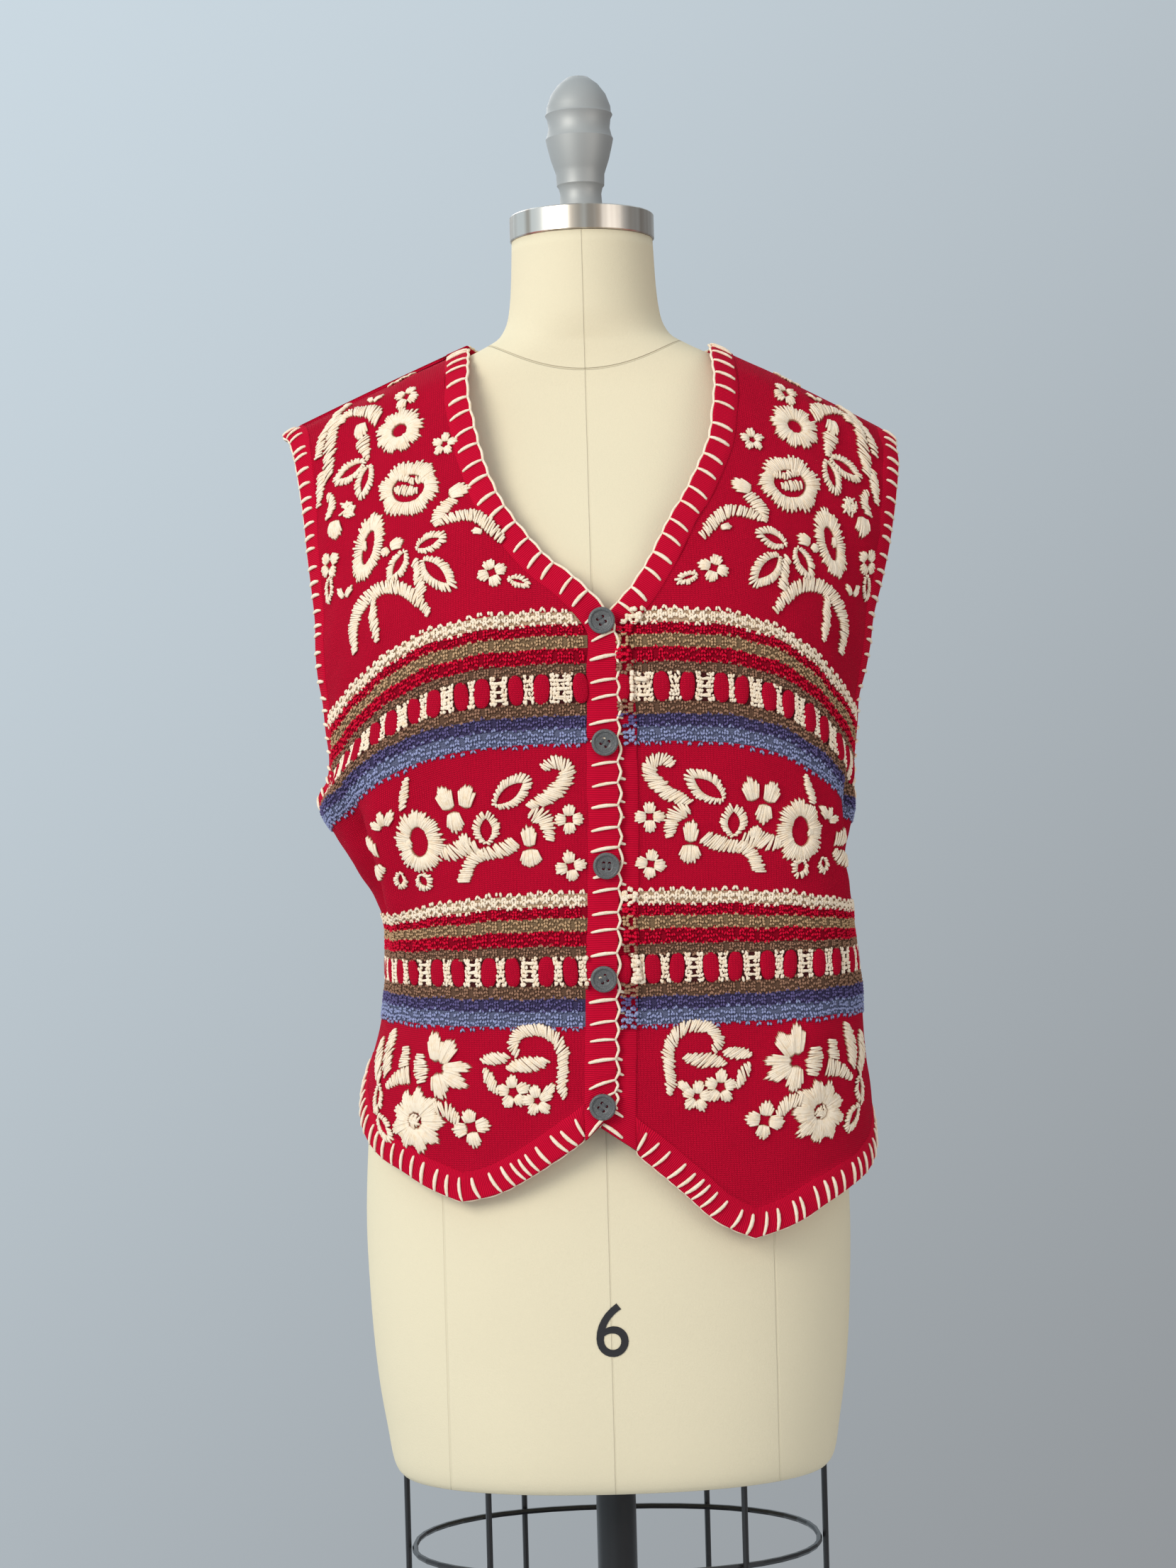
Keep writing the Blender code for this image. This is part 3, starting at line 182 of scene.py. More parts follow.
# Each point of the neck edge is (x, height).
NECK_EDGE = {
    RIGHT: (
        (-0.0200, 1.1730), (-0.0490, 1.1975), (-0.0730, 1.2296), (-0.0880, 1.2610),
        (-0.0965, 1.2920), (-0.1020, 1.3240),
    ),
    LEFT: (
        (0.0400, 1.1690), (0.0555, 1.1925), (0.0705, 1.2210), (0.0885, 1.2500),
        (0.1030, 1.2850), (0.1090, 1.3180),
    ),
}
NECK_POINT_X = {RIGHT: -0.1030, LEFT: 0.1085}
HEM_EDGE = {
    RIGHT: (
        (0.0220, 0.821), (0.045, 0.8035), (0.072, 0.7865), (0.094, 0.7755), (0.112, 0.7715),
        (0.131, 0.7785), (0.152, 0.7885), (0.177, 0.7985), (0.203, 0.8120), (0.228, 0.8290),
    ),
    LEFT: (
        (0.0120, 0.810), (0.034, 0.7920), (0.057, 0.7715), (0.080, 0.7500), (0.097, 0.7410),
        (0.117, 0.7475), (0.142, 0.7590), (0.170, 0.7690), (0.200, 0.7800), (0.228, 0.7930),
    ),
}
HEM_POINT_INDEX = 4
SIDE_HEM_ROW = {RIGHT: 0.845, LEFT: 0.812}
BACK_HEM_ROW = 0.822
UNDERARM_ROW = 1.073

# Where the panels end at the armhole: the row, and the share of the way from front line to side
ARMHOLE_COLUMNS = ("row", "front_share", "back_share")
ARMHOLE_EDGE = (
    (UNDERARM_ROW, 1.000, 1.000),
    (1.078, 0.955, 0.960),
    (1.090, 0.912, 0.922),
    (1.115, 0.868, 0.885),
    (1.145, 0.838, 0.858),
    (1.185, 0.814, 0.838),
    (1.225, 0.802, 0.826),
    (1.275, 0.802, 0.822),
    (1.325, 0.818, 0.832),
    (1.375, 0.850, 0.858),
    (1.408, 0.880, 0.882),
    (RIDGE_ROW, 0.910, 0.910),
)
# The back neck's edge as (share of the way from the middle to the neck point, row)
BACK_NECK_EDGE = ((0.92, 1.4020), (0.74, 1.3640), (0.45, 1.3385), (0.0, 1.3225))
BUTTON_HEIGHTS = (1.154, 1.074, 0.988, 0.909, 0.816)
BUTTON_ACROSS = 0.0120

# How many strips each panel has, and which of its edge's stations lie on its corners
FRONT_COLUMNS, HEM_POINT_COLUMN = 12, 5
PANEL_ROWS, NECK_STATION, UNDERARM_STATION = 25, 14, 9
BACK_COLUMNS, BACK_SHOULDER_COLUMNS = 24, 8
ARMHOLE_SAMPLES, SEAM_SAMPLES = 22, 8
EDGE_BLEND_POWER = 3


def gentle_slopes(places, values):
    """Slopes of a smooth curve through the values that never overshoots them."""
    steps = np.diff(places)
    rises = np.diff(values) / steps
    slopes = np.zeros(len(values))
    before, after = rises[:-1], rises[1:]
    same_way = before * after > 0
    weight_1 = 2 * steps[1:] + steps[:-1]
    weight_2 = steps[1:] + 2 * steps[:-1]
    safe_before = np.where(same_way, before, 1.0)
    safe_after = np.where(same_way, after, 1.0)
    inner = (weight_1 + weight_2) / (weight_1 / safe_before + weight_2 / safe_after)
    slopes[1:-1] = np.where(same_way, inner, 0.0)
    slopes[0], slopes[-1] = rises[0], rises[-1]
    return slopes


def smooth_between(t, k, values, slopes, step=1.0):
    """A smooth curve's value, the share t of the way along its stretch k."""
    start = (1 + 2 * t) * (1 - t) ** 2 * values[k] + t * (1 - t) ** 2 * step * slopes[k]
    end = t * t * (3 - 2 * t) * values[k + 1] - t * t * (1 - t) * step * slopes[k + 1]
    return start + end


class Table:
    """A table of sections whose columns are read anywhere along its first one."""

    def __init__(self, columns, rows):
        values = np.array(sorted(rows), float)
        self.places = values[:, 0]
        self.columns = {
            name: (values[:, k], gentle_slopes(self.places, values[:, k]))
            for k, name in enumerate(columns)
        }

    def read(self, name, at):
        values, slopes = self.columns[name]
        at = np.clip(np.asarray(at, float), self.places[0], self.places[-1])
        k = np.clip(np.searchsorted(self.places, at, side="right") - 1, 0, len(values) - 2)
        step = self.places[k + 1] - self.places[k]
        return smooth_between((at - self.places[k]) / step, k, values, slopes, step)


FORM = Table(FORM_COLUMNS, FORM_SECTIONS)
CLOTH = Table(CLOTH_COLUMNS, CLOTH_ROWS)
ARMHOLE = Table(ARMHOLE_COLUMNS, ARMHOLE_EDGE)


def smooth_step(t):
    t = np.clip(t, 0.0, 1.0)
    return t * t * (3 - 2 * t)


def bust(x, height, depth):
    """How far the bust stands forward of the plain section at a place of the front view."""
    across = np.exp(-(((np.abs(x) - BUST_SIDE_X) / BUST_SPREAD_X) ** 2))
    return depth * across * np.exp(-(((height - BUST_HEIGHT) / BUST_SPREAD_Z) ** 2))


class ClothMap:
    """One side of the front or back: where a distance across and a row of the cloth lie."""

    ROWS, STEPS = 260, 160

    def __init__(self, side, face):
        self.side, self.face = side, face
        self.half = "half_right" if side == RIGHT else "half_left"
        self.drop = "drop_right" if side == RIGHT else "drop_left"
        self.depth_sign = -1 if face == FRONT else 1
        self.row_grid = np.linspace(CLOTH.places[0], CLOTH.places[-1], self.ROWS)
        turn = np.linspace(0, math.pi / 2, self.STEPS)
        rows, turns = np.meshgrid(self.row_grid, turn, indexing="ij")
        points = self.on_section(turns, rows)
        steps = np.linalg.norm(np.diff(points, axis=1), axis=2)
        along = np.concatenate([np.zeros((self.ROWS, 1)), np.cumsum(steps, axis=1)], axis=1)
        self.widths = along[:, -1]
        self.shares = np.linspace(0, 1, self.STEPS)
        self.turns = np.array(
            [np.interp(self.shares, a / a[-1], turn) for a in along]
        )

    def on_section(self, turn, row):
        """A point of the plain section of a row, turned from the middle (0) to the side."""
        half = CLOTH.read(self.half, row)
        depth = CLOTH.read(self.face, row)
        square = CLOTH.read(self.face + "_square", row)
        side_y = CLOTH.read("side_y", row)
        out = np.sin(turn) ** (2 / square)
        ahead = np.clip(np.cos(turn), 0, 1) ** (2 / square)
        middle = FRONT_LINE_X if self.face == FRONT else 0.0
        x = self.side * half * out + middle * ahead
        y = side_y + (self.depth_sign * depth - side_y) * ahead
        fall = CLOTH.read(self.drop, row) * out ** CLOTH.read("drop_power", row)
        z = CLOTH.read("height", row) - fall
        if self.face == FRONT:
            y = y - bust(x, z, CLOTH_BUST_DEPTH) * ahead
        return np.stack([x, y, z], axis=-1)

    def width(self, row):
        """Distance across the cloth from the middle line to the side seam."""
        return np.interp(row, self.row_grid, self.widths)

    def plain(self, across, row):
        across, row = np.broadcast_arrays(np.asarray(across, float), np.asarray(row, float))
        share = np.clip(across / self.width(row), 0, 1)
        step = self.row_grid[1] - self.row_grid[0]
        r = np.clip((row - self.row_grid[0]) / step, 0, self.ROWS - 1.001)
        s = share * (self.STEPS - 1) * (1 - 1e-9)
        i, j = r.astype(int), s.astype(int)
        fr, fs = r - i, s - j
        j = np.clip(j, 0, self.STEPS - 2)
        low = self.turns[i, j] * (1 - fs) + self.turns[i, j + 1] * fs
        high = self.turns[i + 1, j] * (1 - fs) + self.turns[i + 1, j + 1] * fs
        return self.on_section(low * (1 - fr) + high * fr, row)

    def normal(self, points_at, across, row, reach=0.0015):
        """Outward normal by finite differences of a function of place."""
        edge = self.width(row)
        low = np.clip(across - reach, 0, edge - reach)
        high = np.minimum(across + reach, edge)
        along = points_at(high, row) - points_at(low, row)
        top = np.minimum(row + reach, RIDGE_ROW)
        up = points_at(across, top) - points_at(across, top - 2 * reach)
        normal = np.cross(along, up) * self.side * -self.depth_sign
        return normal / np.linalg.norm(normal, axis=-1, keepdims=True)

    def fold_depth(self, across, row):
        total = np.zeros(np.broadcast(across, row).shape)
        for values in FOLDS:
            fold = dict(zip(FOLD_COLUMNS, values))
            if (fold["side"], fold["face"]) != (self.side, self.face):
                continue
            run = fold["across_to"] - fold["across_from"]
            rise = fold["row_to"] - fold["row_from"]
            length = math.hypot(run, rise)
            dx, dy = across - fold["across_from"], row - fold["row_from"]
            along = (dx * run + dy * rise) / length
            aside = (dx * rise - dy * run) / length
            ends = smooth_step(along / length * 3) * smooth_step((1 - along / length) * 3)
            total = total + fold["depth"] * ends * np.exp(-((aside / fold["spread"]) ** 2))
        return total * smooth_step((self.width(row) - across) / FOLD_FADE)

    def lift(self, across, row):
        """The right front lies over the left one at the buttons."""
        if (self.side, self.face) != (RIGHT, FRONT):
            return 0.0
        near = 1 - smooth_step((across - 0.020) / 0.050)
        low = 1 - smooth_step((row - 1.175) / 0.045)
        return OVERLAP_LIFT * near * low

    def ripple(self, across, row):
        """Small unevenness of knitting that hangs by its own weight."""
        shift = 1.7 * self.side + (0.9 if self.face == BACK else 0.0)
        slow = np.sin(across * 62 + row * 23 + shift) * np.sin(row * 71 - across * 17 + shift)
        quick = np.sin(across * 118 - row * 31 + 2 * shift) * np.sin(row * 139 + across * 45)
        fade = smooth_step((self.width(row) - across) / FOLD_FADE)
        fade = fade * smooth_step((RIDGE_ROW - row) / 0.03)
        return (slow * RIPPLE_DEPTH + quick * RIPPLE_DEPTH / 2) * fade

    def at(self, across, row):
        """The middle of the cloth's thickness at a place."""
        across, row = np.broadcast_arrays(np.asarray(across, float), np.asarray(row, float))
        away = self.fold_depth(across, row) + self.lift(across, row) + self.ripple(across, row)
        return self.plain(across, row) + self.normal(self.plain, across, row) * away[..., None]

    def normal_at(self, across, row):
        return self.normal(self.at, np.asarray(across, float), np.asarray(row, float))

    def row_of(self, across, height):
        """The row that lies at a height, at a distance across."""
        row = float(height)
        for _ in range(60):
            row += 0.8 * (height - float(self.at(across, row)[2]))
        return row

    def place_of(self, x, height):
        """Distance across and row of the cloth seen at x and height in a front view."""
        across, row = abs(x), float(height)
        for _ in range(120):
            point = self.at(across, row)
            across += 0.6 * self.side * (x - float(point[0]))
            row += 0.6 * (height - float(point[2]))
        return across, row


CLOTH_MAPS = {
    (side, face): ClothMap(side, face) for side in (RIGHT, LEFT) for face in (FRONT, BACK)
}


def spread_along(points, count, corners=()):
    """Points spread evenly along a polyline, with the corner points kept.

    Each corner is (its index in the polyline, its index among the spread points)."""
    points = np.array(points, float)
    along = np.concatenate([[0], np.cumsum(np.linalg.norm(np.diff(points, axis=0), axis=1))])
    stops = [(0, 0), *corners, (len(points) - 1, count)]
    places = []
    for (a, first), (b, last) in zip(stops, stops[1:]):
        stretch = np.linspace(along[a], along[b], last - first + 1)
        places.extend(stretch if last == count else stretch[:-1])
    return np.stack([np.interp(places, along, points[:, k]) for k in (0, 1)], axis=1)


def panel_places(inner, outer, bottom, top):
    """A grid of cloth places between four edges, each a list of (across, row)."""
    share_up = np.linspace(0, 1, len(inner))[:, None, None]
    share_out = np.linspace(0, 1, len(bottom))[None, :, None]
    ruled = (1 - share_out) * inner[:, None] + share_out * outer[:, None]
    low = (bottom - ruled[0])[None] * (1 - share_up) ** EDGE_BLEND_POWER
    high = (top - ruled[-1])[None] * share_up**EDGE_BLEND_POWER
    return ruled + low + high


@lru_cache
def side_edge(side, face):
    """A panel's edge up the side seam and round the armhole to the shoulder, as stations."""
    cloth = CLOTH_MAPS[side, face]
    seam_rows = np.linspace(SIDE_HEM_ROW[side], UNDERARM_ROW, SEAM_SAMPLES)
    armhole_rows = np.linspace(UNDERARM_ROW, RIDGE_ROW, ARMHOLE_SAMPLES)[1:]
    edge = [(float(cloth.width(row)) - SEAM_GAP / 2, row) for row in seam_rows]
    for row in armhole_rows:
        width = float(cloth.width(row))
        share = float(ARMHOLE.read(face + "_share", row))
        edge.append((min(share * width, width - SEAM_GAP / 2), row))
    return spread_along(edge, PANEL_ROWS, [(SEAM_SAMPLES - 1, UNDERARM_STATION)])


def shoulder_place(side, face):
    """Distance across and row of the neck point, at the inner end of the shoulder seam."""
    cloth = CLOTH_MAPS[side, face]
    across = abs(NECK_POINT_X[side])
    for _ in range(80):
        across += 0.7 * side * (NECK_POINT_X[side] - float(cloth.plain(across, RIDGE_ROW)[0]))
    return across, RIDGE_ROW


@lru_cache
def front_edges(side):
    """The four edges of a front panel as stations: inner, outer, bottom and top."""
    cloth = CLOTH_MAPS[side, FRONT]
    straight = [(across, cloth.row_of(across, z)) for across, z in FRONT_EDGE[side]]
    neck = [cloth.place_of(x, z) for x, z in NECK_EDGE[side]]
    line = straight + neck + [shoulder_place(side, FRONT)]
    inner = spread_along(line, PANEL_ROWS, [(len(straight) - 1, NECK_STATION)])
    outer = side_edge(side, FRONT)
    hem = [(across, cloth.row_of(across, z)) for across, z in HEM_EDGE[side]]
    hem.append(tuple(outer[0]))
    bottom = spread_along(hem, FRONT_COLUMNS, [(HEM_POINT_INDEX, HEM_POINT_COLUMN)])
    top = spread_along([inner[-1], outer[-1]], FRONT_COLUMNS)
    return inner, outer, bottom, top


@lru_cache
def back_edges():
    """The edges of the back panel, with distance across negative on the right."""
    right, left = (side_edge(side, BACK) * (side, 1) for side in (RIGHT, LEFT))
    neck = back_neck(RIGHT) + back_neck(LEFT)[-2::-1]
    line = [tuple(right[-1]), *neck, tuple(left[-1])]
    shoulder = BACK_SHOULDER_COLUMNS
    top = spread_along(line, BACK_COLUMNS, [(1, shoulder), (len(line) - 2, BACK_COLUMNS - shoulder)])
    bend = (tuple(right[0]), (0.0, BACK_HEM_ROW), tuple(left[0]))
    bottom = [back_hem(bend, share) for share in np.linspace(0, 1, BACK_COLUMNS + 1)]
    return right, left, spread_along(bottom, BACK_COLUMNS), top


def back_hem(line, share):
    """The back hem: a shallow curve through its two ends and its middle."""
    (start_x, start), (_, middle), (end_x, end) = line
    row = start * (1 - share) * (1 - 2 * share)
    row += 4 * middle * share * (1 - share) + end * share * (2 * share - 1)
    return start_x + (end_x - start_x) * share, row


def back_neck(side):
    """The back neck's edge from the shoulder seam to the middle, with distance across signed."""
    across, row = shoulder_place(side, BACK)
    edge = [(across * side, row)]
    return edge + [(across * share * side, row) for share, row in BACK_NECK_EDGE]


def back_at(places, function):
    """Reads both halves of the back for places whose distance across is signed."""
    right = function(CLOTH_MAPS[RIGHT, BACK], np.abs(places[..., 0]), places[..., 1])
    left = function(CLOTH_MAPS[LEFT, BACK], np.abs(places[..., 0]), places[..., 1])
    both = (right + left) / 2
    middle = np.abs(places[..., 0:1]) < 1e-6
    return np.where(middle, both, np.where(places[..., 0:1] < 0, right, left))


def seat_shoulder(points, face):
    """Parts the front and back a hair at the shoulder seam, where they meet."""
    shifted = points.copy()
    shifted[-1, ..., 1] += (-1 if face == FRONT else 1) * SEAM_GAP
    return shifted


def flat_on_seam(vectors):
    """Directions laid into the plane between front and back, for an edge on a side or shoulder seam."""
    flat = np.array(vectors, float)
    flat[..., 1] = 0
    return flat / np.linalg.norm(flat, axis=-1, keepdims=True)


def edge_frames(cloth, places, outwards):
    """Point, outward direction and normal of the cloth along an edge of a panel.

    outwards is 1 where the cloth ends to the left of the way along the edge, else -1."""
    places = np.array(places, float)
    run = np.gradient(places, axis=0)
    run /= np.linalg.norm(run, axis=1, keepdims=True)
    away = np.stack([-run[:, 1], run[:, 0]], axis=1) * outwards
    step = 0.002
    points = cloth.at(places[:, 0], places[:, 1])
    normals = cloth.normal_at(places[:, 0], places[:, 1])
    inside = places - away * step
    inner_points = cloth.at(inside[:, 0], inside[:, 1])
    out = points - inner_points
    return points, out, normals


def square_up(points, out, normals, closed=False):
    """Makes each frame's directions square to the way along the edge and to each other."""
    if closed:
        along = np.roll(points, -1, axis=0) - np.roll(points, 1, axis=0)
    else:
        along = np.gradient(points, axis=0)
    along /= np.linalg.norm(along, axis=1, keepdims=True)
    out = out / np.linalg.norm(out, axis=1, keepdims=True)
    normals = normals - along * (normals * along).sum(1, keepdims=True)
    normals /= np.linalg.norm(normals, axis=1, keepdims=True)
    flat = out - along * (out * along).sum(1, keepdims=True)
    flat -= normals * (flat * normals).sum(1, keepdims=True)
    flat /= np.linalg.norm(flat, axis=1, keepdims=True)
    return flat, normals


def relaxed(values, times, closed):
    """Directions evened out along an edge."""
    for _ in range(times):
        if closed:
            values = (np.roll(values, 1, axis=0) + 2 * values + np.roll(values, -1, axis=0)) / 4
        else:
            inner = (values[:-2] + 2 * values[1:-1] + values[2:]) / 4
            values = np.concatenate([values[:1], inner, values[-1:]])
    return values / np.linalg.norm(values, axis=1, keepdims=True)


def seat_band_end(out, normals, end):
    """Lays the end of a band into the plane of the seam that it reaches."""
    normals[end] = flat_on_seam(normals[end])
    out[end] = flat_on_seam(out[end])
    out[end] -= normals[end] * (out[end] @ normals[end])
    out[end] /= np.linalg.norm(out[end])


# How finely the scene's panels are made, and how uneven the cloth is
ROW_SPLIT, COLUMN_SPLIT, INNER_SPLIT = 6, 5, 3
RIPPLE_DEPTH = 0.0008

# The panels made, and the flat size of each: width, length and area
PANELS = {}
FLAT_SIZES = {}

# The edge that each band is swept along, by the band's name
EDGES = {}

# Gauge of the fine knitting, in metres
WALE, ROW = 0.0019, 0.00145
RIB_PITCH = 0.0013
FORM_SPLIT = 4
NUMERAL_SIZE, NUMERAL_PLACE = 0.054, (0.0, 0.640)

# The studio: its floor, the camera, and the air's two colours with how steeply one turns to the other. The
# air's gradient is painted light: lit pale blue on the upper left, shaded grey on the lower right
FLOOR_RADIUS, FLOOR_DEPTH, FLOOR_GAP = 1.70, 0.02, 0.0004
CAMERA_PLACE, CAMERA_TURN = (-0.0065, -2.218, 1.045), (90, 1.55, 0)
CAMERA_LENS, SENSOR_HEIGHT = 68.35, 36.0
AIR_LEFT, AIR_RIGHT = (0.655, 0.76, 0.834), (0.236, 0.24, 0.247)
AIR_SLOPE, AIR_SPAN = -1.08, 0.83
# Each light's name, place, aim, size, power in watts and colour
LIGHTS = (
    ("key_light", (-1.7, -2.0, 2.1), (0, 0, 1.15), (1.3, 1.3), 47, (1.0, 0.97, 0.90)),
    ("fill_light", (1.9, -1.8, 1.3), (0, 0, 1.0), (1.6, 1.6), 15, (1.0, 0.93, 0.86)),
    ("back_light", (-0.6, 2.0, 2.6), (0, 0, 1.0), (1.8, 1.4), 16, (1.0, 1.0, 1.0)),
)

# What is sewn to each panel
SEWN = {"front_right": [], "front_left": [], "back": []}
PANEL_OF_BAND = {
    "front_band_right": "front_right", "front_band_left": "front_left", "neck_band_back": "back",
    "hem_band_back": "back", "hem_band_right": "front_right", "hem_band_left": "front_left",
    "armhole_band_right": "front_right", "armhole_band_left": "front_left",
}

# Stripe groups: upper and lower row, and the stripes from the top as colour, height, rows of stitches
STRIPE_GROUPS = ((1.1665, 1.0725), (0.9700, 0.8735))
STRIPES = (
    ("cream", 10.0, 3), ("red", 8.6, 3), ("tan", 9.8, 3), ("red", 10.9, 3), ("brown", 8.0, 3),
    ("check", 21.0, 0), ("brown", 9.4, 3), ("navy", 9.4, 3), ("blue", 12.8, 4),
)
CHECK_STRIPE = 5
CHECK_ROWS = 7
THICK_WALE = 0.0037
EYELET_PITCH = 0.0135
# Thick stitches: how many columns are tried, their half width and half height as shares of their
# pitch, how clear of the panel's edges they stay, how far every other one juts out at a stripe's top
# and foot, and how unevenly they lie
STITCH_COLUMNS = 80
LEG_HALF, LEG_RISE, LEG_POINT = 0.46, 0.60, 0.16
START_CLEAR, END_CLEAR = 0.0012, 0.0010
TALL_TOOTH, TOOTH = 0.0026, 0.0020
SHAKE, MIDDLE_SHAKE, CHECK_SHAKE = 0.00035, 0.0002, 0.0005
EYELET_HALF, EYELET_SPREAD, EYELET_FALL = 0.15, 0.0060, 14
# The stripes run on over the button band by this much, their stitches lying higher and thicker there
BAND_SHOWS, OVER_LIFT, OVER_SWELL = 0.0115, 0.0020, 0.7
# Openwork of the checked stripes: narrower gaps than the first stay bare, and wider ones than the
# others get a second and a third chain at each side, which lie this far in and this far apart
LEAST_GAP, WIDE_GAP, BROAD_GAP = 0.0030, 0.0085, 0.0130
CHAIN_INSET, WIDE_CHAIN_INSET, CHAIN_FLARE, CHAIN_STEP = 0.0017, 0.0022, 0.0009, 0.0024
CHECK_MARGIN, CHECK_RISE = 0.0012, 0.72
OVAL_WIDTH, OVAL_SIDES = 0.0112, 14
OVAL_PUFF = 0.0017
OVAL_OVERHANG, OVAL_TILT, OVAL_SIZES = 0.0008, 0.0006, (0.97, 1.06)
# Middles of the ovals in each group's checked stripe, as distances across
OVALS = (
    (0.018, 0.045, 0.063, 0.087, 0.102, 0.123, 0.139, 0.160, 0.176, 0.198, 0.214, 0.235),
    (0.030, 0.047, 0.071, 0.088, 0.112, 0.129, 0.153, 0.170, 0.194, 0.211, 0.235),
)

# How far one more oval lies before the first and after the last, where there is room for it
OVAL_BEFORE, OVAL_AFTER = 0.0205, 0.0170
# How much nearer to the middle the ovals of each group lie elsewhere than on the right front
OVAL_SHIFTS = {
    (LEFT, FRONT): (0.0063, 0.0025), (LEFT, BACK): (0.0100, 0.0215), (RIGHT, BACK): (0.0100, 0.0215),
}

# Yarn of the embroidery (in metres) and the distance between its stitches (in millimetres)
YARN_WIDTH = 0.00185
STITCH_STEP = 1.62

# Blanket stitch: thickness of its cord and bars, a bar's shape from the cloth to the free edge (places
# along it, height over the band and thickness), and how its bars crowd together near the hem's point
CORD_WIDTH, BAR_WIDTH, BAR_TUCK = 0.0018, 0.0026, 0.0003
BAR_MARKS = (0.0, 0.07, 0.3, 0.55, 0.8, 0.95, 1.0)
BAR_RISES = (-0.0006, 0.0005, 0.0010, 0.0010, 0.0008, 0.0002, -0.0006)
BAR_SHAPE = (0.75, 1.05, 1.1, 0.9, 0.7)
CROWDED, CROWDED_SPREAD, CROWDED_SHARE = 0.056, 0.024, 0.55
CORD_STEP, LOOSE_CORD, TIGHT_CORD = 0.0019, 0.0026, 0.0010

# How far a band lies under the cloth
BAND_OVERLAP = 0.0010
# How far the foot of each front band is cut lower at its seam and higher at its free edge
BAND_CUTS = {RIGHT: (0.0080, 0.0130), LEFT: (0.0075, 0.0090)}
CUT_FADE = 0.040
# How far each front band reaches below its panel, as a share of the hem band's width
BAND_FOOT = {RIGHT: 0.90, LEFT: 0.80}

# Buttons: the thread holes, how much larger they are than their solids, how far each is turned from
# the last, and their profile as (share of the radius, share of the height)
HOLE_RADIUS, HOLE_REACH = 0.0011, 0.0020
BUTTON_SWELL, BUTTON_TURN = 1.07, 0.5
BUTTON_PROFILE = (
    (0.80, 0.0), (0.95, 0.22), (1.0, 0.50), (0.992, 0.72), (0.955, 0.90), (0.90, 0.98), (0.84, 1.0),
    (0.79, 0.95), (0.745, 0.80), (0.71, 0.66), (0.60, 0.58), (0.50, 0.60), (0.46, 0.56), (0.42, 0.50),
    (0.20, 0.46),
)

# The four sides of the cloth: side, face, name and panel
PARTS = (
    (RIGHT, FRONT, "front_right", "front_right"), (LEFT, FRONT, "front_left", "front_left"),
    (RIGHT, BACK, "back_right", "back"), (LEFT, BACK, "back_left", "back"),
)
# Blanket stitch of each band: distance between its bars, their length, how far they lean, and the
# thickness of the cord along the free edge
EDGING = {
    "front_band_right": (0.0148, 0.0235, -0.0030, 1.0),
    "front_band_left": (0.0148, 0.0170, -0.0030, 0.9),
    "neck_band_back": (0.0118, 0.0150, 0.0010, 0.9), "hem_band_back": (0.0104, 0.0170, 0.0030, 0.6),
    "hem_band_right": (0.0100, 0.0175, 0.0030, 0.6), "hem_band_left": (0.0100, 0.0175, 0.0030, 0.6),
    "armhole_band_right": (0.0105, 0.0140, 0.0012, 0.8),
    "armhole_band_left": (0.0105, 0.0140, 0.0012, 0.8),
}


class Wire:
    """One socket of a finish, used in Python sums."""

    def __init__(self, finish, socket):
        self.finish, self.socket = finish, socket

    def __add__(self, other):
        return self.finish.maths("ADD", self, other)

    def __sub__(self, other):
        return self.finish.maths("SUBTRACT", self, other)

    def __rsub__(self, other):
        return self.finish.maths("SUBTRACT", other, self)

    def __mul__(self, other):
        return self.finish.maths("MULTIPLY", self, other)

    def __truediv__(self, other):
        return self.finish.maths("DIVIDE", self, other)

    def __rtruediv__(self, other):
        return self.finish.maths("DIVIDE", other, self)

    def __pow__(self, other):
        return self.finish.maths("POWER", self, other)

    def __lt__(self, other):
        return self.finish.maths("LESS_THAN", self, other)

    def __gt__(self, other):
        return self.finish.maths("GREATER_THAN", self, other)

    def __abs__(self):
        return self.finish.maths("ABSOLUTE", self)

    __radd__, __rmul__ = __add__, __mul__

    def ramp(self, low, high):
        """0 at low and 1 at high, eased and held outside them."""
        limits = {"From Min": low, "From Max": high}
        settings = {"interpolation_type": "SMOOTHSTEP"}
        return self.finish.node("ShaderNodeMapRange", settings, {"Value": self, **limits})


